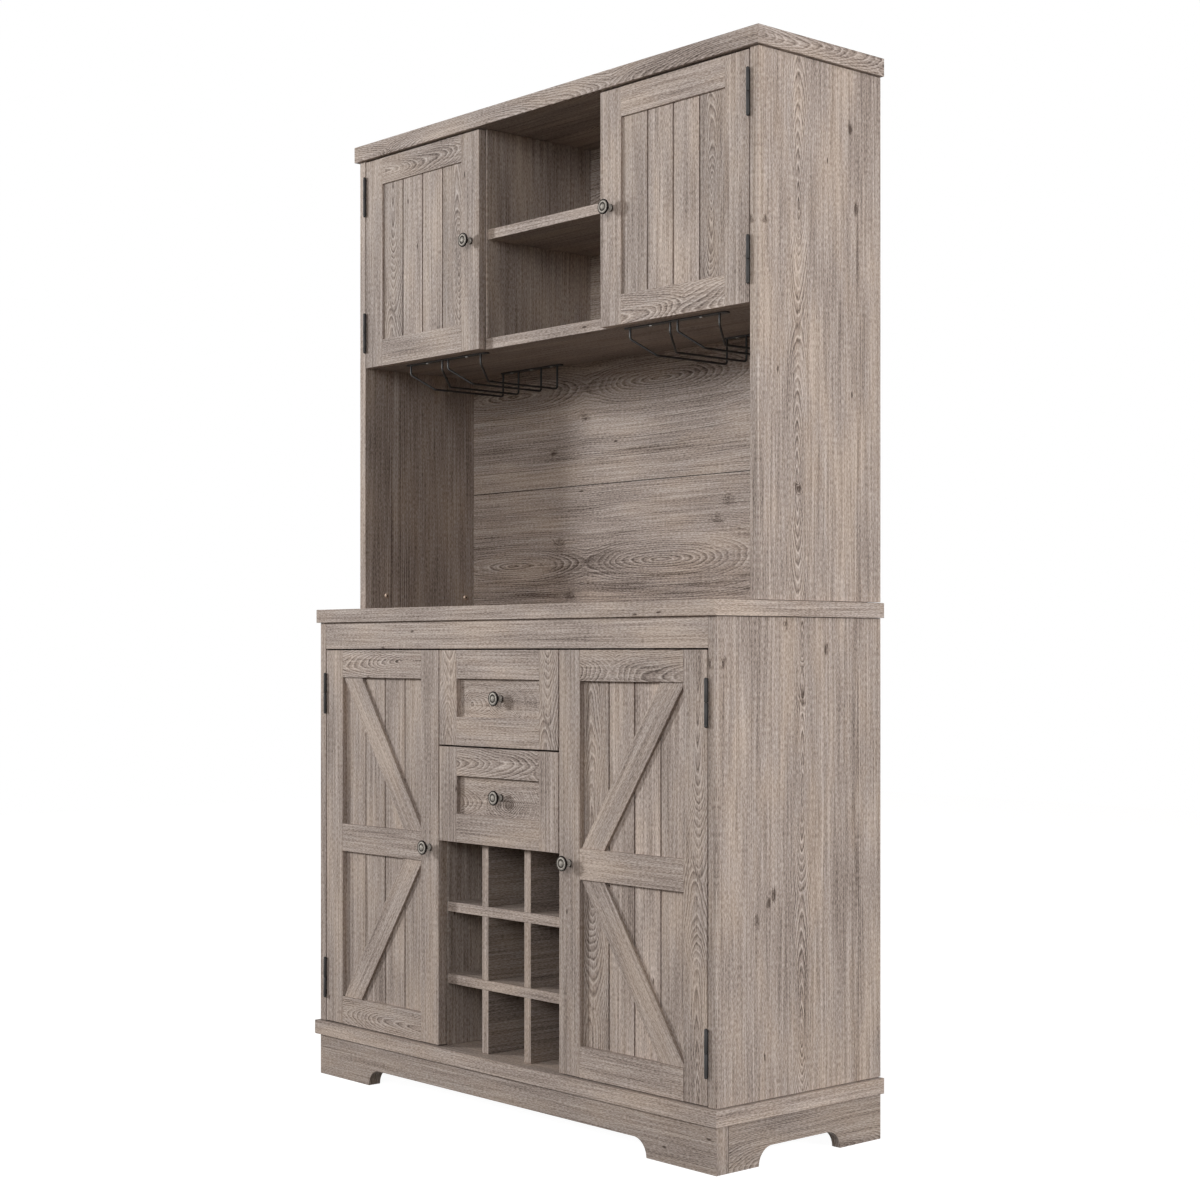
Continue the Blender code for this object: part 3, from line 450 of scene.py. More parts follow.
def antique_pewter(name):
    """Pewter plating on cast zinc, darkened and rubbed back: bright on the ridges and black in the grooves.

    The UV map Turn holds how far out a point lies on the head and how high it stands.
    """
    material, tree = new_material(name)
    turn = add_node(tree, "ShaderNodeUVMap", {"uv_map": "Turn"})
    split = add_node(tree, "ShaderNodeSeparateXYZ", {}, {0: turn})
    ring = add_node(tree, "ShaderNodeValToRGB", {}, {0: split.outputs[0]})
    ramp = ring.color_ramp
    ramp.elements[0].color = linear("#8f8a83")
    ramp.elements[1].color = linear("#1f1c1a")
    for spot, shade in (
            (0.28, "#8f8a83"), (0.40, "#78736c"), (0.46, "#3d3935"), (0.54, "#45413d"), (0.62, "#8a847d"),
            (0.74, "#a19b94"), (0.80, "#77726b"), (0.86, "#3b3733"), (0.94, "#2a2725")):
        ramp.elements.new(spot).color = linear(shade)
    low = add_node(tree, "ShaderNodeValToRGB", {}, {0: split.outputs[1]})
    low.color_ramp.elements[0].color = linear("#4d4945")
    low.color_ramp.elements[1].color = linear("#ffffff")
    for spot, shade in (
            (0.08, "#4d4945"), (0.12, "#ffffff"), (0.30, "#ffffff"), (0.40, "#8a857e"), (0.50, "#33302d"),
            (0.76, "#33302d"), (0.82, "#ffffff")):
        low.color_ramp.elements.new(spot).color = linear(shade)
    place = add_node(tree, "ShaderNodeTexCoord")
    tarnish = add_node(
        tree, "ShaderNodeTexNoise", {"Scale": 420, "Detail": 4, "Roughness": 0.7},
        {"Vector": place.outputs["Object"]})
    spots = add_node(
        tree, "ShaderNodeMapRange", {"From Min": 0.35, "From Max": 0.65, "To Min": 0.62, "To Max": 1.0},
        {"Value": tarnish})
    both = add_node(
        tree, "ShaderNodeMix", {"data_type": 'RGBA', "blend_type": 'MULTIPLY', 0: 1.0}, {6: ring, 7: low})
    colour = add_node(
        tree, "ShaderNodeVectorMath", {"operation": 'SCALE'}, {0: both.outputs[2], 3: spots})
    rough = add_node(
        tree, "ShaderNodeMapRange", {"From Min": 0.3, "From Max": 0.7, "To Min": 0.72, "To Max": 0.56},
        {"Value": tarnish})
    relief = add_node(tree, "ShaderNodeBump", {"Strength": 0.2, "Distance": 0.0002}, {"Height": tarnish})
    shader = add_node(
        tree, "ShaderNodeBsdfPrincipled", {"Metallic": 1.0},
        {"Base Color": colour, "Roughness": rough, "Normal": relief})
    add_node(tree, "ShaderNodeOutputMaterial", {}, {0: shader})
    return material


def baked_enamel(name, colour, roughness):
    """Black powder coat on steel: a fine orange peel of about 0.8 mm and a soft sheen."""
    material, tree = new_material(name)
    place = add_node(tree, "ShaderNodeTexCoord")
    peel = add_node(
        tree, "ShaderNodeTexNoise", {"Scale": 1200, "Detail": 2, "Roughness": 0.5},
        {"Vector": place.outputs["Object"]})
    dust = add_node(
        tree, "ShaderNodeTexNoise", {"Scale": 60, "Detail": 3, "Roughness": 0.6},
        {"Vector": place.outputs["Object"]})
    shade = add_node(
        tree, "ShaderNodeMix", {"data_type": 'RGBA', 6: linear(colour), 7: linear("#2f2c2a")},
        {0: add_node(tree, "ShaderNodeMapRange", {"From Min": 0.45, "From Max": 0.8}, {"Value": dust})})
    rough = add_node(
        tree, "ShaderNodeMapRange",
        {"From Min": 0.3, "From Max": 0.7, "To Min": roughness, "To Max": roughness + 0.12},
        {"Value": dust})
    relief = add_node(tree, "ShaderNodeBump", {"Strength": 0.2, "Distance": 0.0002}, {"Height": peel})
    shader = add_node(
        tree, "ShaderNodeBsdfPrincipled", {"IOR": 1.5},
        {"Base Color": shade.outputs[2], "Roughness": rough, "Normal": relief})
    add_node(tree, "ShaderNodeOutputMaterial", {}, {0: shader})
    return material


def finish(name):
    """A finish by name, made the first time that it is asked for."""
    if name not in made_finishes:
        made_finishes[name] = finishes[name](name)
    return made_finishes[name]


# On a side panel U is the height, and V is the outer face's x less the depth.
side_face = 0.542
base_side_bends = (
    (0.10, 0.020), (0.198, 0.001), (0.30, 0.010), (0.42, 0.022), (0.50, 0.009), (0.585, 0.000),
    (0.66, 0.006), (0.72, 0.011), (0.745, 0.003), (0.79, 0.008), (0.81, 0.000), (0.87, 0.010))
base_side_marks = (
    (0.742, side_face - 0.0110, 0.034, 0.013, 0.004, 0.30),
    (0.848, side_face - 0.0045, 0.060, 0.020, 0.000, 0.12),
    (0.817, side_face - 0.0682, 0.014, 0.008, 0.010, 0.55),
    (0.853, side_face + 0.0261, 0.016, 0.010, 0.008, 0.35),
    (0.796, side_face + 0.1657, 0.013, 0.008, 0.008, 0.45),
    (0.426, side_face + 0.0538, 0.018, 0.009, 0.012, 0.60),
    (0.414, side_face + 0.0652, 0.015, 0.007, 0.010, 0.50),
    (0.382, side_face + 0.0924, 0.017, 0.009, 0.010, 0.45),
    (0.260, side_face - 0.0206, 0.180, 0.030, 0.000, 0.14),
    (0.480, side_face - 0.1425, 1.500, 0.020, 0.004, 0.15),
)
hutch_side_bends = (
    (0.89, 0.026), (1.00, 0.013), (1.09, 0.003), (1.20, 0.016), (1.34, 0.032), (1.45, 0.019), (1.53, 0.004),
    (1.62, 0.014), (1.77, 0.030))
hutch_side_marks = (
    (1.6685, side_face - 0.1264, 0.016, 0.009, 0.010, 0.55),
    (1.5440, side_face - 0.1412, 0.018, 0.009, 0.012, 0.55),
    (1.4933, side_face + 0.0743, 0.013, 0.007, 0.008, 0.40),
    (1.0799, side_face - 0.0018, 0.016, 0.009, 0.006, 0.40),
    (1.3000, side_face - 0.1500, 1.500, 0.017, 0.004, 0.10),
)
# On the hutch back U is the place across, and V is the depth of its front face less the height.
back_face = 0.179
hutch_back_bends = (
    (-0.53, 0.018), (-0.40, 0.002), (-0.32, 0.009), (-0.25, 0.022), (-0.18, 0.034), (-0.14, 0.030),
    (-0.08, 0.016), (0.03, 0.000), (0.12, 0.012), (0.20, 0.028), (0.27, 0.044), (0.53, 0.07))
hutch_back_marks = (
    (0.2113, back_face - 1.0822, 0.026, 0.017, 0.014, 0.28),
    (0.1785, back_face - 1.0500, 0.022, 0.014, 0.010, 0.24),
    (-0.2212, back_face - 0.9203, 0.024, 0.015, 0.010, 0.34),
    (-0.2569, back_face - 1.0182, 0.034, 0.022, 0.010, 0.20),
    (-0.1860, back_face - 1.2629, 0.024, 0.015, 0.010, 0.32),
    (-0.2689, back_face - 1.1997, 0.016, 0.008, 0.008, 0.36),
    (-0.0500, back_face - 1.1870, 0.420, 0.013, 0.000, 0.22),
    (-0.2300, back_face - 0.9850, 0.240, 0.040, 0.000, 0.10),
    (-0.0500, back_face - 0.9300, 0.900, 0.085, 0.000, 0.18),
)
# The lower drawer's panel lies 1 m further along the print than the upper one's.
drawer_bends = (
    (-0.15, 0.050), (-0.08, 0.012), (-0.03, 0.022), (0.02, 0.000), (0.06, 0.030), (0.15, 0.090),
    (0.60, 0.060), (0.88, 0.016), (0.95, 0.034), (1.02, 0.010), (1.10, 0.046), (1.20, 0.070))
straight_bends = ((-9, 0.05), (9, 0.06))
finishes = {
    "oak_laminate_boards": oak_laminate,
    "oak_laminate_straight": lambda name: oak_laminate(name, (0.3, 0.9), straight_bends, plain=True),
    "oak_laminate_base_side": lambda name: oak_laminate(
        name, (side_face - 0.0135, 0.21), base_side_bends, base_side_marks),
    "oak_laminate_hutch_side": lambda name: oak_laminate(
        name, (side_face - 0.0018, 0.21), hutch_side_bends, hutch_side_marks),
    "oak_laminate_hutch_back": lambda name: oak_laminate(
        name, (back_face - 0.983, 0.1675), hutch_back_bends, hutch_back_marks, wide=True),
    "oak_laminate_drawer": lambda name: oak_laminate(name, (0.012, 0.05), drawer_bends),
    "hardboard": hardboard,
    "antique_pewter": antique_pewter,
    "zinc_plate": lambda name: plated_metal(name, "#8d8c88", "#b9b8b4", 0.32, 300),
    "bronze_plate": lambda name: plated_metal(name, "#b09c8c", "#e0ccba", 0.55, 300),
    "black_hinge": lambda name: baked_enamel(name, "#161414", 0.55),
    "black_powder_coat": lambda name: baked_enamel(name, "#141312", 0.36),
}


def new_shape():
    shape = bmesh.new()
    shape.loops.layers.uv.new("Grain")
    shape.faces.layers.float.new("tone")
    return shape


def fresh_faces(shape):
    """Faces that no board has claimed yet: their tone is still nought."""
    tone = shape.faces.layers.float["tone"]
    return [face for face in shape.faces if face[tone] == 0]


def lay_grain(shape, faces, along, across, shift, tone, material):
    """Write the grain's UV: U along the board, V round it, and U across it on its ends."""
    grain = shape.loops.layers.uv["Grain"]
    shade = shape.faces.layers.float["tone"]
    beside = across.cross(along)
    for face in faces:
        face[shade] = tone
        face.material_index = material
        is_end = abs(face.normal.dot(along)) > 0.7
        for loop in face.loops:
            place = loop.vert.co
            run, side, depth = place.dot(along), place.dot(beside), place.dot(across)
            spot = (side, run + depth) if is_end else (run, side + depth)
            loop[grain].uv = (spot[0] + shift[0], spot[1] + shift[1])


def add_plate(shape, outline, across, low, high, along, shift=None, tone=None, radius=None, material=0):
    """Add a board: an outline of (y, z), (x, z) or (x, y) points across X, Y or Z, given a thickness.

    Unless they are given, its tone and the stretch of print that it shows change from board to board.
    """
    number = next(board_numbers)
    if tone is None:
        tone = 1 + 0.05 * sin(number * 2.4)
    if radius is None:
        radius = bpy.context.scene.cabinet_sizes.edge
    order = {'X': (2, 0, 1), 'Y': (0, 2, 1), 'Z': (0, 1, 2)}[across]
    corners = []
    for u, v in outline:
        point = (u, v, low)
        corners.append(shape.verts.new([point[place] for place in order]))
    made = bmesh.ops.extrude_face_region(shape, geom=[shape.faces.new(corners)])
    lifted = [item for item in made["geom"] if isinstance(item, bmesh.types.BMVert)]
    bmesh.ops.translate(shape, vec=axes[across] * (high - low), verts=lifted)
    faces = fresh_faces(shape)
    bmesh.ops.recalc_face_normals(shape, faces=faces)
    for face in faces:
        face.normal_update()
    sharp = radians(30)
    # A dict keeps its order, so every run gives the same mesh.
    edges = dict.fromkeys(
        edge for face in faces for edge in face.edges if edge.calc_face_angle(0) > sharp)
    bmesh.ops.bevel(
        shape, geom=list(edges), offset=radius, offset_type='OFFSET', affect='EDGES', segments=2,
        profile=0.5, material=-1, clamp_overlap=True)
    faces = fresh_faces(shape)
    for face in faces:
        face.normal_update()
    if isinstance(along, str):
        along = axes[along]
    if shift is None:
        # The middle of a log lies near the middle of every board.
        points = dict.fromkeys(vert for face in faces for vert in face.verts)
        centre = sum((vert.co for vert in points), Vector()) / len(points)
        place = centre.dot(axes[across].cross(along)) + centre.dot(axes[across])
        shift = (number * 0.731 % 9, 0.014 * sin(number * 1.7) - place)
    lay_grain(shape, faces, along, axes[across], shift, tone, material)


def rectangle(first, second):
    (left, right), (bottom, top) = first, second
    return [(left, bottom), (right, bottom), (right, top), (left, top)]


def add_board(shape, low, high, across, along, **others):
    """Add a plain board between two corners."""
    keep = {'X': (1, 2, 0), 'Y': (0, 2, 1), 'Z': (0, 1, 2)}[across]
    first, second, depth = [(low[place], high[place]) for place in keep]
    add_plate(shape, rectangle(first, second), across, *depth, along, **others)


def paint_light_and_shade(shape, towards, tone):
    """Paint light and shade into the print: scale the tone of the faces that look one way."""
    layer = shape.faces.layers.float["tone"]
    for face in shape.faces:
        if face.normal.dot(towards) > 0.9:
            face[layer] *= tone


def add_turned(shape, profile, centre, axis, steps):
    """Turn a profile of (radius, height) points about an axis, and write where each point lies on it."""
    known = set(shape.verts)
    side = axis.orthogonal().normalized()
    verts = [shape.verts.new(centre + side * radius + axis * height) for radius, height in profile]
    edges = [shape.edges.new(pair) for pair in zip(verts, verts[1:])]
    bmesh.ops.spin(
        shape, geom=verts + edges, cent=centre, axis=axis, dvec=(0, 0, 0), angle=2 * pi, steps=steps,
        use_merge=True, use_duplicate=False)
    made = [vert for vert in shape.verts if vert not in known]
    bmesh.ops.remove_doubles(shape, verts=made, dist=0.000002)
    faces = fresh_faces(shape)
    bmesh.ops.recalc_face_normals(shape, faces=faces)
    tone = shape.faces.layers.float["tone"]
    for face in faces:
        face[tone] = 1
        face.smooth = True


def write_turn(shape, centre, axis, radius, height):
    """The UV map Turn: distance from the axis and height along it, each as a share of its largest.

    Below the head the distance counts as that of the dome, so that only the height tells the tone there.
    """
    turn = shape.loops.layers.uv.get("Turn") or shape.loops.layers.uv.new("Turn")
    for face in shape.faces:
        for loop in face.loops:
            arm = loop.vert.co - centre
            if arm.length < radius * 3:
                up = arm.dot(axis)
                out = (arm - axis * up).length / radius if up > height * 0.7 else 0.72
                loop[turn].uv = (out, up / height)


def finish_piece(shape, name, body, materials, replaced=()):
    mesh = bpy.data.meshes.new(name)
    shape.to_mesh(mesh)
    shape.free()
    piece = bpy.data.objects.new(name, mesh)
    bpy.context.scene.collection.objects.link(piece)
    for material in materials:
        mesh.materials.append(finish(material))
    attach(piece, body)
    for node in replaced:
        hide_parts(node)


def finish_boards(shape, node, part="board", body="cabinet", grains=("straight",)):
    """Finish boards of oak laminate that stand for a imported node."""
    materials = ["oak_laminate_" + grain for grain in grains]
    finish_piece(shape, node + "_" + part, body, materials, [node])


def span(first, second):
    return (min(first, second), max(first, second))


class CABINET_OT_panels(bpy.types.Operator):
    """Side panels, dividers and backs"""
    bl_idname = "cabinet.panels"
    bl_label = "Panels"

    def execute(self, context):
        sizes = context.scene.cabinet_sizes
        for part in ("base", "hutch"):
            back_low, back_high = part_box(part + "_back")
            for side, sign in sides:
                node = part + "_side_" + side
                low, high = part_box(node)
                outer = side_face * sign
                inner = outer - sign * sizes.panel
                groove = inner + sign * sizes.back_groove
                outline = [
                    (outer, low[1]), (inner, low[1]), (inner, back_low[1]), (groove, back_low[1]),
                    (groove, back_high[1]), (inner, back_high[1]), (inner, high[1]), (outer, high[1])]
                shape = new_shape()
                # Its lower end stops short of the board below, which shows as a dark joint.
                start = low[2] + sizes.board_joint
                add_plate(shape, outline, 'Z', start, high[2], 'Z', shift=(0, 0), tone=1.0)
                self.lay_side(shape, sign)
                # The inner face is toned darker: painted shade inside the cabinet.
                paint_light_and_shade(shape, Vector((-sign, 0, 0)), 0.8)
                finish_boards(shape, node, "panel", grains=(part + "_side",))
        self.dividers("base", sizes.base_bay / 2, sizes.panel)
        self.dividers("hutch", sizes.hutch_bay / 2, sizes.panel)
        self.backs(sizes)
        return {'FINISHED'}

    def lay_side(self, shape, sign):
        """Grain up the panel, and V across it from its rear edge. The left side shows another stretch."""
        grain = shape.loops.layers.uv["Grain"]
        start = 0 if sign > 0 else 3.1
        for face in shape.faces:
            is_end = abs(face.normal.z) > 0.7
            for loop in face.loops:
                x, y, z = loop.vert.co
                round_it = sign * x - y
                loop[grain].uv = (round_it, z + x) if is_end else (z + start, round_it)

    def dividers(self, part, inner, thickness):
        for side, sign in sides:
            node = part + "_divider_" + side
            low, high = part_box(node)
            x = span(sign * inner, sign * (inner + thickness))
            shape = new_shape()
            add_board(shape, (x[0], low[1], low[2]), (x[1], high[1], high[2]), 'X', 'Z', tone=0.92)
            finish_boards(shape, node, "panel")

    def backs(self, sizes):
        """Thin backs with an oak face and a raw rear. The hutch's face is two sheets with a joint between
        them, made dark by painted shade on the core behind.
        """
        face_depth = 0.001
        joint = sizes.board_joint
        for node, seams, material in (
                ("base_back", (), "oak_laminate_boards"),
                ("hutch_back", (sizes.back_seam,), "oak_laminate_hutch_back")):
            low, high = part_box(node)
            face = low[1] + face_depth
            shape = new_shape()
            ends = [low[2], *[z + step for z in seams for step in (-joint, joint)], high[2]]
            for number, (bottom, top) in enumerate(zip(ends[::2], ends[1::2])):
                add_board(
                    shape, (low[0], low[1], bottom), (high[0], face, top), 'Y', 'X', shift=(0, 0),
                    tone=0.88 - 0.02 * number, radius=0.0002)
            # A core closes the back behind its face. Its front is toned all but black: painted shade in the
            # hutch's joint.
            add_board(
                shape, (low[0], face, low[2]), high, 'Y', 'X', shift=(0, 0), tone=0.15, radius=0.0003)
            for polygon in shape.faces:
                if polygon.normal.y > 0.5:
                    polygon.material_index = 1
            finish_piece(
                shape, node + "_board", "cabinet", [material, "hardboard"], [node])


class CABINET_OT_boards(bpy.types.Operator):
    """Countertop, top board, base board, apron and shelves"""
    bl_idname = "cabinet.boards"
    bl_label = "Boards and shelves"

    # Each board's thickness axis, its print, and the tone of its underside, which is painted shade, darker
    # for the boards inside.
    plain = (
        ("base_board", 'Z', "straight", 1.0), ("hutch_top_board", 'Z', "boards", 0.85),
        ("front_apron", 'Y', "straight", 1.0), ("base_shelf_left", 'Z', "straight", 1.0),
        ("base_shelf_right", 'Z', "straight", 1.0), ("drawer_floor", 'Z', "straight", 0.85),
        ("hutch_bottom", 'Z', "straight", 0.62), ("hutch_open_shelf", 'Z', "straight", 0.8),
        ("hutch_shelf_left", 'Z', "straight", 1.0), ("hutch_shelf_right", 'Z', "straight", 1.0))

    def execute(self, context):
        for node, across, grain, below in self.plain:
            low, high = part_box(node)
            shape = new_shape()
            add_board(shape, low, high, across, 'X')
            # Painted shade: the faces that look down take the underside's tone.
            paint_light_and_shade(shape, -axes['Z'], below)
            finish_boards(shape, node, grains=(grain,))
        self.countertop(context.scene.cabinet_sizes.counter_corner)
        return {'FINISHED'}

    def countertop(self, radius):
        """The countertop's front corners are rounded, its rear ones square."""
        low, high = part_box("countertop")
        steps = 8
        outline = [(low[0], high[1])]
        for x, start in ((low[0] + radius, pi), (high[0] - radius, 1.5 * pi)):
            for step in range(steps + 1):
                angle = start + pi / 2 * step / steps
                outline.append((x + radius * cos(angle), low[1] + radius + radius * sin(angle)))
        outline.append((high[0], high[1]))
        shape = new_shape()
        add_plate(shape, outline, 'Z', low[2], high[2], 'X', tone=1.0)
        # The top face is toned much lighter: painted light from above.
        paint_light_and_shade(shape, axes['Z'], 1.7)
        finish_boards(shape, "countertop")


class CABINET_OT_plinth(bpy.types.Operator):
    """Plinth boards with arched lower edges"""
    bl_idname = "cabinet.plinth"
    bl_label = "Plinth"

    # Lengths of the feet, along the front board and along a side board.
    front_feet = (0.160, 0.160)
    side_feet = (0.0677, 0.1005)
    # A side board stops this far short of its own solid at the front, which shows as a fine dark joint.
    side_joint = 0.0006

    def execute(self, context):
        rise = context.scene.cabinet_sizes.arch_rise
        low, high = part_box("plinth_front")
        shape = new_shape()
        outline = self.arched((low[0], high[0]), self.front_feet, high[2], rise)
        # Toned darker than the other boards: painted shade low by the floor.
        add_plate(shape, outline, 'Y', low[1], high[1], 'X', tone=0.88)
        finish_boards(shape, "plinth_front")
        for side, sign in sides:
            node = "plinth_side_" + side
            low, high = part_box(node)
            shape = new_shape()
            outline = self.arched((low[1] + self.side_joint, high[1]), self.side_feet, high[2], rise)
            # Toned darker still: painted shade low by the floor.
            add_plate(shape, outline, 'X', low[0], high[0], 'Y', tone=0.79)
            finish_boards(shape, node, grains=("boards",))
        return {'FINISHED'}

    def arched(self, ends, feet, top, rise):
        """A board whose lower edge is cut away between two feet, with a quarter circle beside each foot."""
        steps = 12
        start, end = ends
        angles = [pi / 2 * step / steps for step in range(steps + 1)]
        arc = [(rise * (1 - cos(angle)), rise * sin(angle)) for angle in angles]
        points = [(start, 0), (start, top), (end, top), (end, 0)]
        points += [(end - feet[1] - run, up) for run, up in arc]
        points += [(start + feet[0] + run, up) for run, up in reversed(arc)]
        return points


class CABINET_OT_wine_rack(bpy.types.Operator):
    """Wine rack: shelves and dividers lapped into each other half way back"""
    bl_idname = "cabinet.wine_rack"
    bl_label = "Wine rack"

    def execute(self, context):
        half = context.scene.cabinet_sizes.rack_board / 2 + hair
        columns = [sum(end[0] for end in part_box("wine_divider_" + str(n))) / 2 for n in (1, 2)]
        rows = [sum(end[2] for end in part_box("wine_shelf_" + str(n))) / 2 for n in (1, 2)]
        for number in (1, 2):
            self.shelf("wine_shelf_" + str(number), columns, half)
            self.divider("wine_divider_" + str(number), rows, half)
        return {'FINISHED'}

    def shelf(self, node, columns, half):
        """A shelf with a slot from its rear edge for each divider."""
        low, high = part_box(node)
        lap = (low[1] + high[1]) / 2
        outline = [(low[0], low[1]), (high[0], low[1]), (high[0], high[1])]
        for x in reversed(columns):
            outline += [(x + half, high[1]), (x + half, lap), (x - half, lap), (x - half, high[1])]
        outline.append((low[0], high[1]))
        shape = new_shape()
        add_plate(shape, outline, 'Z', low[2], high[2], 'X')
        # The underside is toned darker: painted shade inside the cells.
        paint_light_and_shade(shape, -axes['Z'], 0.75)
        finish_boards(shape, node)

    def divider(self, node, rows, half):
        """A divider with a slot from its front edge for each shelf."""
        low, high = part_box(node)
        lap = (low[1] + high[1]) / 2
        outline = [(low[1], low[2])]
        for z in rows:
            outline += [(low[1], z - half), (lap, z - half), (lap, z + half), (low[1], z + half)]
        outline += [(low[1], high[2]), (high[1], high[2]), (high[1], low[2])]
        shape = new_shape()
        add_plate(shape, outline, 'X', low[0], high[0], 'Y')
        # Both faces are toned darker: painted shade inside the cells.
        for side, sign in sides:
            paint_light_and_shade(shape, Vector((sign, 0, 0)), 0.66)
        finish_boards(shape, node)


door_grains = ("boards", "straight")


def add_frame(shape, x, z, y, stile, rail, figured=(), lip=(0, 0), tone=None):
    """Two stiles the full height, and a rail between them at each end. A lip takes a stile past its box.

    The boards are the left stile, the right stile, the lower rail and the upper rail, and figured holds
    the numbers of those with a flat-sawn figure.
    """
    joint = bpy.context.scene.cabinet_sizes.joint_edge
    left, right = x
    bottom, top = z
    stiles = ((left - lip[0], left + stile), (right - stile, right + lip[1]))
    rails = ((bottom, bottom + rail), (top - rail, top))
    for number, board in enumerate(stiles):
        add_plate(
            shape, rectangle(board, z), 'Y', *y, 'Z', tone=tone, material=int(number not in figured))
    for number, board in enumerate(rails, 2):
        add_plate(
            shape, rectangle((left + stile, right - stile), board), 'Y', *y, 'X', radius=joint, tone=tone,
            material=int(number not in figured))


def add_planks(shape, x, z, y, tones, figured=()):
    """Upright planks with a narrow gap between them, on a sheet that closes the door's back."""
    count = len(tones)
    sizes = bpy.context.scene.cabinet_sizes
    left, right = x
    front, rear = y
    pitch = (right - left) / count
    tuck = 0.003
    low, high = z[0] - tuck, z[1] + tuck
    sheet = front + sizes.groove_depth
    add_plate(
        shape, rectangle((left - tuck, right + tuck), (low, high)), 'Y', sheet, rear, 'Z', material=1)
    # The sheet's front is toned all but black: painted shade in the gaps between the planks.
    paint_light_and_shade(shape, -axes['Y'], 0.14)
    for number in range(count):
        start = left - tuck if number == 0 else left + number * pitch + sizes.groove / 2
        end = right + tuck if number == count - 1 else left + (number + 1) * pitch - sizes.groove / 2
        add_plate(
            shape, rectangle((start, end), (low, high)), 'Y', front, sheet, 'Z', radius=0.0004,
            tone=tones[number], material=int(number not in figured))


def add_door(node, sign, rail, recess, figures, frame_painted_light=None):
    """A door's frame and its planks. It gives back the spans between stiles and rails, and the depth."""
    sizes = bpy.context.scene.cabinet_sizes
    x, y, z = zip(*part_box(node))
    lip = (0, sizes.hinge_lip) if sign > 0 else (sizes.hinge_lip, 0)
    boards, tones, planks = figures
    shape = new_shape()
    add_frame(shape, x, z, y, sizes.stile, rail, boards, lip, frame_painted_light)
    finish_boards(shape, node, "frame", node, door_grains)
    width = (x[0] + sizes.stile, x[1] - sizes.stile)
    height = (z[0] + rail, z[1] - rail)
    shape = new_shape()
    add_planks(shape, width, height, (y[0] + recess, y[1] - hair), tones, planks)
    finish_boards(shape, node, "planks", node, door_grains)
    return width, height, y


class CABINET_OT_upper_doors(bpy.types.Operator):
    """Planked doors of the hutch"""
    bl_idname = "cabinet.upper_doors"
    bl_label = "Upper doors"

    # The frame's figured boards, the tones of the planks, and the figured planks.
    figures = {
        "left": ((3,), (0.86, 1.02, 0.99, 0.88), (0, 3)),
        "right": ((2,), (0.96, 1.08, 1.12, 0.96), (3,))}
    # The left door's frame is toned darker and the right's lighter: painted shade and painted light that even
    # out the left lamp.
    frame_painted_lights = {"left": 0.92, "right": 1.04}

    def execute(self, context):
        sizes = context.scene.cabinet_sizes
        for side, sign in sides:
            add_door(
                "door_upper_" + side, sign, sizes.upper_rail, sizes.upper_recess, self.figures[side],
                self.frame_painted_lights[side])
        return {'FINISHED'}


class CABINET_OT_lower_doors(bpy.types.Operator):
    """Planked doors of the base, each with a middle rail and two braces"""
    bl_idname = "cabinet.lower_doors"
    bl_label = "Lower doors"

    figures = {
        "left": ((2, 3), (1.0, 0.96, 1.0, 0.95), ()),
        "right": ((1, 3), (0.96, 1.06, 1.18, 1.06), (0,))}
    # The middle rail's place, as a share of the door's height.
    middle_rail = 0.499

    def execute(self, context):
        sizes = context.scene.cabinet_sizes
        for side, sign in sides:
            node = "door_lower_" + side
            width, height, depth = add_door(
                node, sign, sizes.lower_rail, sizes.lower_recess, self.figures[side])
            low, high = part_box(node)
            middle = low[2] + (high[2] - low[2]) * self.middle_rail
            rail = (middle - sizes.lower_rail / 2, middle + sizes.lower_rail / 2)
            front, face = depth[0], depth[0] + sizes.lower_recess
            shape = new_shape()
            add_plate(shape, rectangle(width, rail), 'Y', front, face, 'X', radius=sizes.joint_edge)
            # Both braces start beside the hinges, at the door's top and bottom.
            inner, outer = width if sign > 0 else reversed(width)
            end_width = -sign * sizes.brace
            for start, end in ((height[1], rail[1]), (height[0], rail[0])):
                outline = [
                    (outer, start), (outer + end_width, start), (inner, end), (inner - end_width, end)]
                along = Vector((inner - end_width - outer, 0, end - start)).normalized()
                add_plate(shape, outline, 'Y', front + sizes.brace_step, face, along, radius=0.0005)
            finish_boards(shape, node, "braces", node)
        return {'FINISHED'}


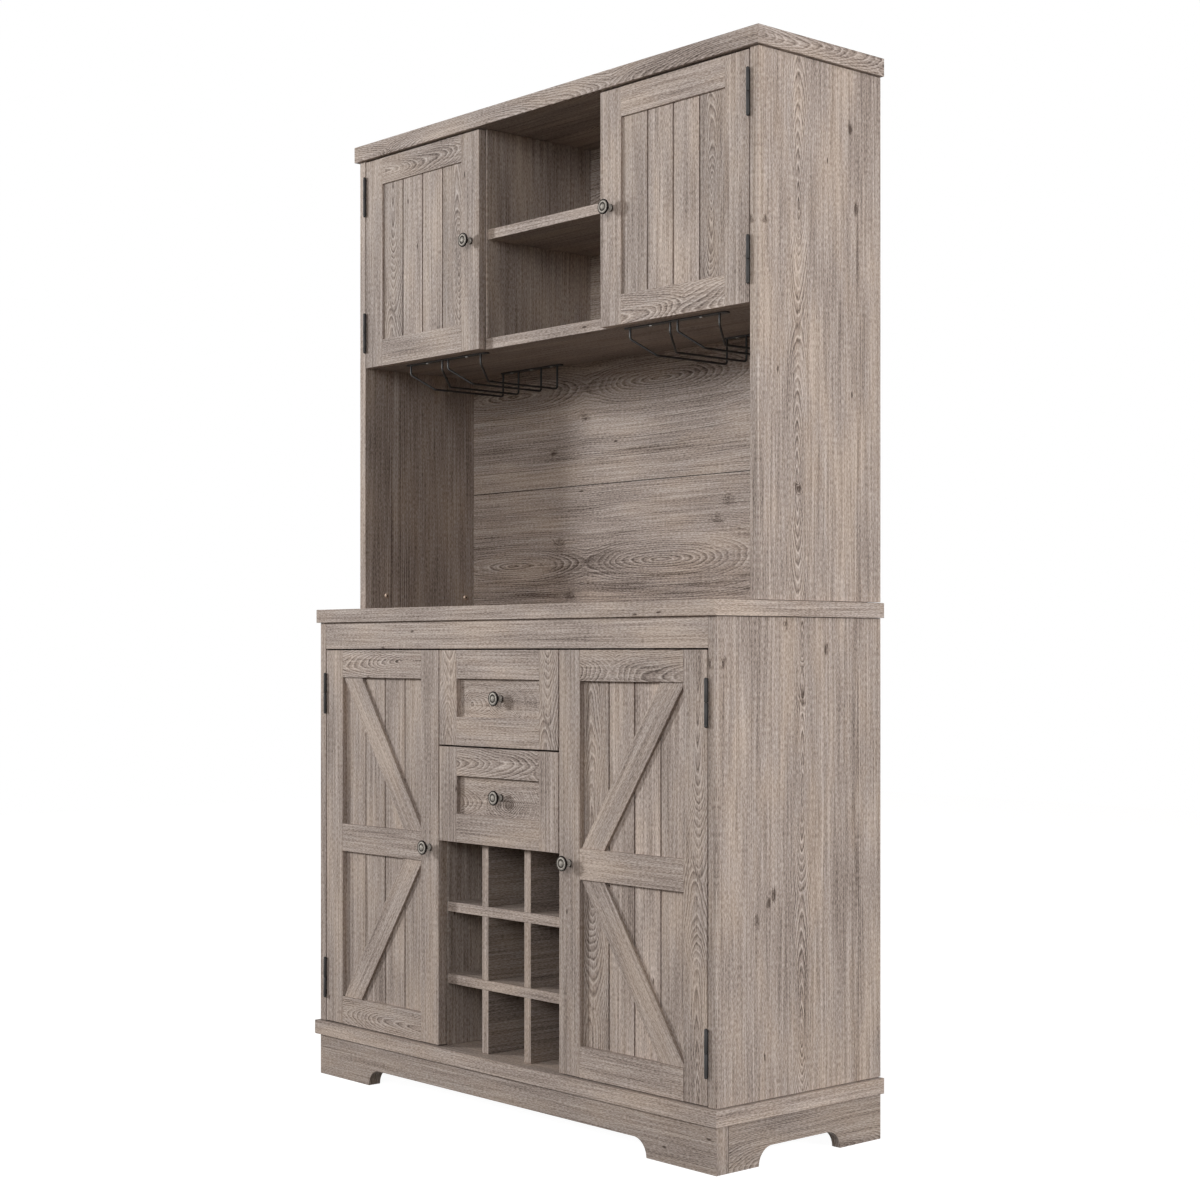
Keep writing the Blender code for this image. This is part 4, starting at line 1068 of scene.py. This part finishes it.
class CABINET_OT_drawers(bpy.types.Operator):
    """Drawer fronts and boxes"""
    bl_idname = "cabinet.drawers"
    bl_label = "Drawers"

    # The figured boards of each front's frame.
    figures = {"upper": (0, 1), "lower": (3,)}
    # How far a panel sits in the grooves of its frame, and a bottom in those of its box.
    panel_tuck = 0.003
    floor_tuck = 0.004

    def execute(self, context):
        sizes = context.scene.cabinet_sizes
        for number, (name, figured) in enumerate(self.figures.items()):
            body = "drawer_" + name
            node = "drawer_front_" + name
            x, y, z = zip(*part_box(node))
            shape = new_shape()
            add_frame(shape, x, z, y, sizes.drawer_stile, sizes.drawer_rail, figured)
            margin = sizes.drawer_stile - self.panel_tuck
            field = (x[0] + margin, x[1] - margin)
            margin = sizes.drawer_rail - self.panel_tuck
            heights = (z[0] + margin, z[1] - margin)
            face = y[0] + sizes.drawer_recess
            # V holds the depth less the height, so this shift puts the figure's middle on the panel's.
            shift = (number, (z[0] + z[1]) / 2 - face)
            add_plate(
                shape, rectangle(field, heights), 'Y', face, y[1] - hair, 'X', material=2, shift=shift,
                tone=0.97)
            finish_boards(shape, node, "boards", body, (*door_grains, "drawer"))
            self.drawer_box("drawer_box_" + name, body, sizes)
        return {'FINISHED'}

    def drawer_box(self, node, body, sizes):
        """Four walls round a thin bottom, and the moving half of each runner."""
        half = sizes.box_width / 2
        wall = sizes.box_wall
        x, (front, rear), (bottom, top) = zip(*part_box(node))
        shape = new_shape()
        for y in ((front, front + wall), (rear - wall, rear)):
            add_plate(shape, rectangle((wall - half, half - wall), (bottom, top)), 'Y', *y, 'X')
        for side, sign in sides:
            x = span(sign * half, sign * (half - wall))
            add_plate(shape, rectangle((front, rear), (bottom, top)), 'X', *x, 'Y')
        margin = wall - self.floor_tuck
        start = bottom + sizes.box_floor_rise
        outline = rectangle((margin - half, half - margin), (front + margin, rear - margin))
        add_plate(shape, outline, 'Z', start, start + sizes.box_floor, 'X', radius=0.0003)
        finish_piece(shape, node + "_boards", body, ["oak_laminate_boards"], [node])
        shape = new_shape()
        middle = bottom + sizes.runner_rise
        height = (middle - sizes.rail / 2, middle + sizes.rail / 2)
        start, end = front + sizes.rail_setback, rear - sizes.rail_setback
        for side, sign in sides:
            x = span(sign * (half - hair), sign * sizes.rail_reach)
            add_plate(shape, rectangle(x, height), 'Y', start, end, 'Y', radius=0.0008)
        finish_piece(shape, node + "_rails", body, ["zinc_plate"], [node])


class CABINET_OT_knobs(bpy.types.Operator):
    """Turned knobs"""
    bl_idname = "cabinet.knobs"
    bl_label = "Knobs"

    # Shares of the head's radius and of the projection, from the crown of the dome round to the seat.
    profile = (
        (0.000, 0.998), (0.080, 0.996), (0.160, 0.990), (0.240, 0.978), (0.310, 0.958), (0.370, 0.932),
        (0.415, 0.898), (0.440, 0.868), (0.470, 0.860), (0.500, 0.868), (0.530, 0.890), (0.570, 0.912),
        (0.620, 0.928), (0.670, 0.934), (0.720, 0.930), (0.760, 0.915), (0.790, 0.896), (0.820, 0.892),
        (0.850, 0.902), (0.890, 0.918), (0.930, 0.916), (0.970, 0.896), (0.995, 0.862), (1.000, 0.826),
        (0.985, 0.780), (0.940, 0.740), (0.860, 0.705), (0.700, 0.665), (0.520, 0.630), (0.400, 0.595),
        (0.320, 0.550), (0.280, 0.490), (0.270, 0.420), (0.280, 0.350), (0.310, 0.290), (0.360, 0.235),
        (0.420, 0.190), (0.465, 0.150), (0.490, 0.110), (0.490, 0.020), (0.000, 0.020))

    def execute(self, context):
        sizes = context.scene.cabinet_sizes
        outwards = Vector((0, -1, 0))
        nodes = [("door_knob_" + row + "_" + side, "door_" + row + "_" + side)
                 for row in ("upper", "lower") for side, sign in sides]
        nodes += [("drawer_knob_" + name, "drawer_" + name) for name in ("upper", "lower")]
        for node, body in nodes:
            low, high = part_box(node)
            foot = Vector(((low[0] + high[0]) / 2, high[1] + seat, (low[2] + high[2]) / 2))
            shape = new_shape()
            points = [(r * sizes.knob_radius, h * sizes.knob_depth) for r, h in self.profile]
            add_turned(shape, points, foot, outwards, steps=48)
            write_turn(shape, foot, outwards, sizes.knob_radius, sizes.knob_depth)
            finish_piece(shape, node + "_turned", body, ["antique_pewter"], [node])
        return {'FINISHED'}


class CABINET_OT_hinges(bpy.types.Operator):
    """Butt hinges: two leaves in the gap beside a door, and a barrel in two halves with rounded tips"""
    bl_idname = "cabinet.hinges"
    bl_label = "Hinges"

    # How far the pin stands up from the lower half, and the depth of the hole for it in the upper half.
    pin_reach = 0.024
    hole_depth = 0.0255
    # A leaf lies between these depths behind the door's face.
    leaf_depths = (0.0006, 0.0125)
    # Half the gap where the barrel's halves meet, and how far the leaf beside it keeps off the middle.
    half_gap = 0.0003
    leaf_step = 0.0008

    def execute(self, context):
        sizes = context.scene.cabinet_sizes
        for row in ("upper", "lower"):
            for side, sign in sides:
                door = "door_" + row + "_" + side
                door_low, door_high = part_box(door)
                door_edge = max(abs(door_low[0]), abs(door_high[0]))
                axis_x = sign * (door_edge + sizes.hinge_gap / 2)
                axis_y = door_low[1] - sizes.barrel - seat
                for end in ("top", "bottom"):
                    name = "hinge_" + row + "_" + side + "_" + end
                    low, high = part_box(name + "_frame_leaf")
                    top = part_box(name + "_door_leaf")[1][2]
                    centre = Vector((axis_x, axis_y, (low[2] + top) / 2))
                    half = (top - low[2]) / 2
                    for part, body, turn in (("_door_leaf", door, 1), ("_frame_leaf", "cabinet", -1)):
                        node = name + part
                        shape = new_shape()
                        self.knuckle(shape, centre, half, turn, sizes)
                        plate = self.leaf_plate(sign, turn, door_edge, sizes)
                        reach = half - sizes.barrel
                        self.leaf(shape, plate, door_low[1], centre, reach, turn, sizes)
                        finish_piece(shape, node + "_steel", body, ["black_hinge"], [node])
        return {'FINISHED'}

    def knuckle(self, shape, centre, half, turn, sizes):
        """Half of the barrel, with a ball on its end. The lower half carries the pin."""
        radius = sizes.barrel
        gap = self.half_gap
        steps = 8
        points = []
        for step in range(steps + 1):
            angle = pi / 2 * step / steps
            points.append((radius * sin(angle), half - radius + radius * cos(angle)))
        points += [
            (radius * 0.86, half - radius * 1.25), (radius, half - radius * 1.5), (radius, gap + 0.0004),
            (radius * 0.9, gap)]
        if turn < 0:
            pin = sizes.hinge_pin
            points += [(pin, gap), (pin, -self.pin_reach), (0, -self.pin_reach - 0.0003)]
        else:
            points += [(sizes.pin_hole, gap), (sizes.pin_hole, self.hole_depth), (0, self.hole_depth)]
        add_turned(shape, points, centre, Vector((0, 0, turn)), steps=28)

    def leaf_plate(self, sign, turn, door_edge, sizes):
        """Across the gap, the door's leaf lies on the door's edge and the other on the side panel."""
        start = door_edge + (seat if turn > 0 else sizes.hinge_gap - seat - sizes.leaf)
        return span(sign * start, sign * (start + sizes.leaf))

    def leaf(self, shape, x, face_y, centre, reach, turn, sizes):
        """A leaf whose own half runs on into the wall of the barrel, past the hole for the pin."""
        start, end = (face_y + depth for depth in self.leaf_depths)
        neck = centre.y + (sizes.barrel + sizes.pin_hole) / 2
        step = centre.z + turn * self.leaf_step
        own, other = centre.z + turn * reach, centre.z - turn * reach
        outline = [(end, other), (end, own), (neck, own), (neck, step), (start, step), (start, other)]
        add_plate(shape, outline, 'X', *x, 'Z', radius=0.0002)


class CABINET_OT_glass_racks(bpy.types.Operator):
    """Glass racks: bent wires under two flat bars that are screwed to the hutch bottom"""
    bl_idname = "cabinet.glass_racks"
    bl_label = "Glass racks"

    # Depths of the front and rear bars, their lengths, and the places of the screws along each.
    bars = ((-0.05075, 0.249, (-0.061, 0.061)), (0.15675, 0.185, (-0.0607, 0, 0.0607)))
    # The wires' ends lie this far in front of the middles of the bars.
    wire_offset = 0.0045
    # At the mouth a wire drops straight at first, and then slants back as it closes in.
    mouth_drop = 0.020
    slant = 0.0385

    def execute(self, context):
        sizes = context.scene.cabinet_sizes
        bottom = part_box("hutch_bottom")[0][2]
        for side, sign in sides:
            node = "glass_rack_" + side
            low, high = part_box(node)
            centre = (low[0] + high[0]) / 2
            self.wires(context.scene, node, centre, bottom, sizes)
            bar_top = bottom - seat
            bar_bottom = bar_top - sizes.bar_metal
            bars = new_shape()
            screws = new_shape()
            for y, length, spots in self.bars:
                outline = self.bar(centre, y, length / 2, sizes.bar / 2)
                add_plate(bars, outline, 'Z', bar_bottom, bar_top, 'X', radius=0.0004)
                for x in spots:
                    head = Vector((centre + x, y, bar_bottom + 0.0001))
                    add_screw(screws, head, -axes['Z'], sizes.rack_screw)
            finish_piece(bars, node + "_bars", "cabinet", ["black_powder_coat"], [node])
            finish_piece(screws, node + "_screws", "cabinet", ["zinc_plate", "black_hinge"])
        return {'FINISHED'}

    def wires(self, scene, node, centre, bottom, sizes):
        """Two channels of two wires each, wide at the mouth and narrow where the stems slide."""
        (front_y, *_), (rear_y, *_) = self.bars
        start, end = front_y - self.wire_offset, rear_y - self.wire_offset
        root = bottom - seat - sizes.bar_metal / 2
        curve = bpy.data.curves.new(node + "_wires", 'CURVE')
        curve.dimensions = '3D'
        curve.bevel_depth = sizes.wire
        curve.bevel_resolution = 4
        curve.use_fill_caps = True
        for channel in (-1, 1):
            middle = centre + channel * sizes.channel_pitch / 2
            for edge in (-1, 1):
                mouth = middle + edge * sizes.mouth / 2
                throat = middle + edge * sizes.throat / 2
                level = bottom - sizes.rack_drop
                corners = (
                    (mouth, start, root), (mouth, start, bottom - self.mouth_drop),
                    (throat, start + self.slant, level), (throat, end, level), (throat, end, root))
                self.add_wire(curve, self.rounded(corners, sizes.wire_bend, 8))
        wires = bpy.data.objects.new(node + "_wires", curve)
        scene.collection.objects.link(wires)
        curve.materials.append(finish("black_powder_coat"))
        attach(wires, "cabinet")
        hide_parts(node)

    def bar(self, centre, y, reach, half):
        """A flat bar whose ends are half round."""
        steps = 8
        points = []
        for sign, start in ((1, -pi / 2), (-1, pi / 2)):
            for step in range(steps + 1):
                angle = start + pi * step / steps
                points.append((centre + sign * (reach - half) + half * cos(angle), y + half * sin(angle)))
        return points

    def add_wire(self, curve, points):
        spline = curve.splines.new('POLY')
        spline.points.add(len(points) - 1)
        for point, place in zip(spline.points, points):
            point.co = (*place, 1)

    def rounded(self, corners, radius, steps):
        """Straight runs joined with arcs of one radius."""
        points = [Vector(corners[0])]
        for before, corner, after in zip(corners, corners[1:], corners[2:]):
            before, corner, after = Vector(before), Vector(corner), Vector(after)
            into = (corner - before).normalized()
            out = (after - corner).normalized()
            turn = into.angle(out)
            reach = radius * (1 - cos(turn)) / sin(turn)
            centre = corner + (out - into).normalized() * (radius / cos(turn / 2))
            start = corner - into * reach - centre
            normal = start.cross(corner + out * reach - centre).normalized()
            for step in range(steps + 1):
                points.append(centre + Matrix.Rotation(turn * step / steps, 3, normal) @ start)
        points.append(Vector(corners[-1]))
        return points


def add_screw(shape, root, axis, radius):
    """A pan-head screw: a low dome with a cross recess in it, whose darkness is painted shade."""
    # Shares of the radius and of the rise, from the middle of the dome round to the middle of its seat.
    profile = ((0, 1), (0.4, 0.96), (0.72, 0.78), (0.93, 0.42), (1, 0.1), (1, 0), (0, 0))
    rise = radius * 0.45
    add_turned(shape, [(r * radius, h * rise) for r, h in profile], root, axis, steps=20)
    side = axis.orthogonal().normalized()
    other = axis.cross(side)
    # Each arm of the cross is a thin dark block, sunk but for its upper face: painted shade for the recess.
    arm = Matrix.Diagonal((radius * 1.05, radius * 0.24, radius * 0.1, 1))
    place = Matrix.Translation(root + axis * rise * 0.93)
    for first, second in ((side, other), (other, side)):
        before = set(shape.faces)
        made = bmesh.ops.create_cube(shape, size=1)
        spin = Matrix((first, second, axis)).transposed().to_4x4()
        bmesh.ops.transform(shape, matrix=place @ spin @ arm, verts=made["verts"])
        tone = shape.faces.layers.float["tone"]
        for face in shape.faces:
            if face not in before:
                face[tone] = 1
                face.material_index = 1


class CABINET_OT_fittings(bpy.types.Operator):
    """Shelf pins, drawer channels and the screws of the hutch"""
    bl_idname = "cabinet.fittings"
    bl_label = "Fittings"

    # Places of the pins, as shares of a shelf's depth.
    pin_shares = (0.18, 0.82)
    # A pin's outline: shares of its radius, and distances from the face of its panel.
    pin_profile = (
        (0, 0.009), (0.84, 0.009), (1, 0.0086), (1, 0.0012), (1.52, 0.0011), (1.6, 0.0008), (1.6, 0.0001),
        (0, 0.0001))
    # Depths and height of the screws inside the niche.
    screw_depths = (-0.03875, 0.15775)
    screw_height = 0.923

    def execute(self, context):
        sizes = context.scene.cabinet_sizes
        self.pins(sizes)
        self.channels(sizes)
        for side, sign in sides:
            shape = new_shape()
            for y in self.screw_depths:
                root = Vector((sign * (side_face - sizes.panel), y, self.screw_height))
                add_screw(shape, root, Vector((-sign, 0, 0)), sizes.hutch_screw)
            finish_piece(
                shape, "hutch_side_screws_" + side, "cabinet", ["bronze_plate", "black_hinge"])
        return {'FINISHED'}

    def pins(self, sizes):
        """Shelf pins: round pegs, each with a collar against its panel, that the inner shelves lie on."""
        profile = [(r * sizes.shelf_pin, h) for r, h in self.pin_profile]
        for part, bay in (("base", sizes.base_bay / 2), ("hutch", sizes.hutch_bay / 2)):
            for side, sign in sides:
                low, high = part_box(part + "_shelf_" + side)
                height = low[2] - seat - sizes.shelf_pin
                faces = ((sign * (side_face - sizes.panel), -sign), (sign * (bay + sizes.panel), sign))
                shape = new_shape()
                for share in self.pin_shares:
                    y = low[1] + (high[1] - low[1]) * share
                    for x, towards in faces:
                        add_turned(
                            shape, profile, Vector((x, y, height)), Vector((towards, 0, 0)), steps=20)
                finish_piece(
                    shape, part + "_shelf_pins_" + side, "cabinet", ["zinc_plate"],
                    [part + "_side_" + side, part + "_divider_" + side])

    def channels(self, sizes):
        """The fixed half of each runner: a steel channel that is open towards the drawer."""
        metal = sizes.channel_metal
        half = sizes.channel / 2
        outer = sizes.base_bay / 2 - 0.0001
        web = outer - metal
        lip = sizes.base_bay / 2 - sizes.channel_reach
        # The outline is (x, height from the channel's middle), for the right side.
        outline = (
            (outer, -half), (outer, half), (lip, half), (lip, half - metal), (web, half - metal),
            (web, metal - half), (lip, metal - half), (lip, -half))
        for side, sign in sides:
            node = "base_divider_" + side
            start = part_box(node)[0][1] + sizes.channel_setback
            shape = new_shape()
            for name in ("upper", "lower"):
                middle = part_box("drawer_box_" + name)[0][2] + sizes.runner_rise
                points = [(sign * x, middle + z) for x, z in outline]
                add_plate(shape, points, 'Y', start, start + sizes.channel_length, 'Y', radius=0.0003)
            finish_piece(
                shape, "drawer_channels_" + side, "cabinet", ["zinc_plate"], [node])


class CABINET_OT_stage(bpy.types.Operator):
    """Pale floor, softboxes, room light and the camera"""
    bl_idname = "cabinet.stage"
    bl_label = "Stage"

    def execute(self, context):
        scene = context.scene
        self.floor(scene)
        self.lamps(scene)
        self.room(scene)
        self.camera(scene)
        scene.view_settings.view_transform = 'Standard'
        return {'FINISHED'}

    def floor(self, scene):
        """A pale sheet that the camera sees as white but for the cabinet's shadow."""
        shape = bmesh.new()
        bmesh.ops.create_grid(shape, x_segments=1, y_segments=1, size=scene.cabinet_stage.floor / 2)
        mesh = bpy.data.meshes.new("studio_floor")
        shape.to_mesh(mesh)
        shape.free()
        floor = bpy.data.objects.new("studio_floor", mesh)
        scene.collection.objects.link(floor)
        material, tree = new_material("studio_paper")
        shown = self.shown(tree)
        paper = add_node(tree, "ShaderNodeBsdfDiffuse", {"Color": linear("#e8e8e8")})
        glow = add_node(tree, "ShaderNodeEmission", {"Strength": 1.38})
        sheet = add_node(tree, "ShaderNodeMixShader", {0: 0.7}, {1: paper, 2: glow})
        dull = add_node(tree, "ShaderNodeBsdfDiffuse", {"Color": linear("#62584e")})
        mixed = add_node(tree, "ShaderNodeMixShader", {}, {0: shown, 1: dull, 2: sheet})
        add_node(tree, "ShaderNodeOutputMaterial", {}, {0: mixed})
        mesh.materials.append(material)

    def shown(self, tree):
        """One for what the camera sees, also in a reflection, and nought for every other ray."""
        path = add_node(tree, "ShaderNodeLightPath")
        mirror = add_node(
            tree, "ShaderNodeMath", {"operation": 'MAXIMUM'},
            {0: path.outputs["Is Glossy Ray"], 1: path.outputs["Is Transmission Ray"]})
        return add_node(
            tree, "ShaderNodeMath", {"operation": 'MAXIMUM'}, {0: path.outputs["Is Camera Ray"], 1: mirror})

    def lamps(self, scene):
        stage = scene.cabinet_stage
        middle = Vector((0, 0, 0.95))
        for name, arm, size, power in (
                ("left_softbox", Vector((-6.8, -5.35, 1.92)), 1.5, stage.left_lamp),
                ("front_softbox", Vector((2.0, -6.0, 1.6)), 2.6, stage.front_lamp),
                ("side_softbox", Vector((5.9, 0.7, 0.9)), 2.4, stage.side_lamp),
                ("high_softbox", Vector((3.6, -4.6, 2.7)), 3.0, stage.high_lamp)):
            light = bpy.data.lights.new(name, 'AREA')
            light.shape = 'DISK'
            light.size = size
            light.energy = power
            lamp = bpy.data.objects.new(name, light)
            lamp.location = middle + arm
            lamp.rotation_euler = arm.to_track_quat('Z', 'Y').to_euler()
            scene.collection.objects.link(lamp)

    def room(self, scene):
        """White to the camera and in reflections, and a soft, slightly warm light to everything else."""
        world = bpy.data.worlds.new("studio")
        scene.world = world
        world.use_nodes = True
        tree = world.node_tree
        tree.nodes.clear()
        shown = self.shown(tree)
        sky = scene.cabinet_stage.sky
        strength = add_node(tree, "ShaderNodeMapRange", {"To Min": sky, "To Max": 1.0}, {"Value": shown})
        warm, white = linear("#ffe0c8"), linear("#ffffff")
        tint = add_node(tree, "ShaderNodeMix", {"data_type": 'RGBA', 6: warm, 7: white}, {0: shown})
        colour = tint.outputs[2]
        light = add_node(tree, "ShaderNodeBackground", {}, {"Color": colour, "Strength": strength})
        add_node(tree, "ShaderNodeOutputWorld", {}, {0: light})

    def camera(self, scene):
        lens = bpy.data.cameras.new("camera")
        lens.lens = 63.48
        lens.sensor_width = 36
        lens.shift_y = 0.04415
        camera = bpy.data.objects.new("camera", lens)
        camera.location = (2.8718, -2.49005, 0.8103)
        camera.rotation_euler = (pi / 2, 0, 0.8451)
        scene.collection.objects.link(camera)
        scene.camera = camera


operators = (
    CABINET_OT_stage, CABINET_OT_panels, CABINET_OT_boards, CABINET_OT_plinth, CABINET_OT_wine_rack,
    CABINET_OT_upper_doors, CABINET_OT_lower_doors, CABINET_OT_drawers, CABINET_OT_knobs, CABINET_OT_hinges,
    CABINET_OT_glass_racks, CABINET_OT_fittings)


class CABINET_PT_sidebar(bpy.types.Panel):
    """The cabinet's pieces and settings"""
    bl_idname = "CABINET_PT_sidebar"
    bl_label = "Coffee bar cabinet"
    bl_space_type = 'VIEW_3D'
    bl_region_type = 'UI'
    bl_category = "Cabinet"

    def draw(self, context):
        layout = self.layout
        for operator in operators:
            layout.operator(operator.bl_idname)
        for group in groups:
            settings = getattr(context.scene, group)
            box = layout.box()
            for name in settings.bl_rna.properties.keys():
                if name not in ("rna_type", "name"):
                    box.prop(settings, name)


groups = {"cabinet_sizes": CabinetSizes, "cabinet_oak": OakSettings, "cabinet_stage": StageSettings}


def register():
    for kind in (*groups.values(), *operators, CABINET_PT_sidebar):
        bpy.utils.register_class(kind)
    for name, kind in groups.items():
        setattr(bpy.types.Scene, name, bpy.props.PointerProperty(type=kind))


def unregister():
    for name in groups:
        delattr(bpy.types.Scene, name)
    for kind in (CABINET_PT_sidebar, *reversed(operators), *groups.values()):
        bpy.utils.unregister_class(kind)


def main():
    register()
    for operator in operators:
        getattr(bpy.ops.cabinet, operator.bl_idname.split(".")[1])()


if __name__ == "__main__":
    main()
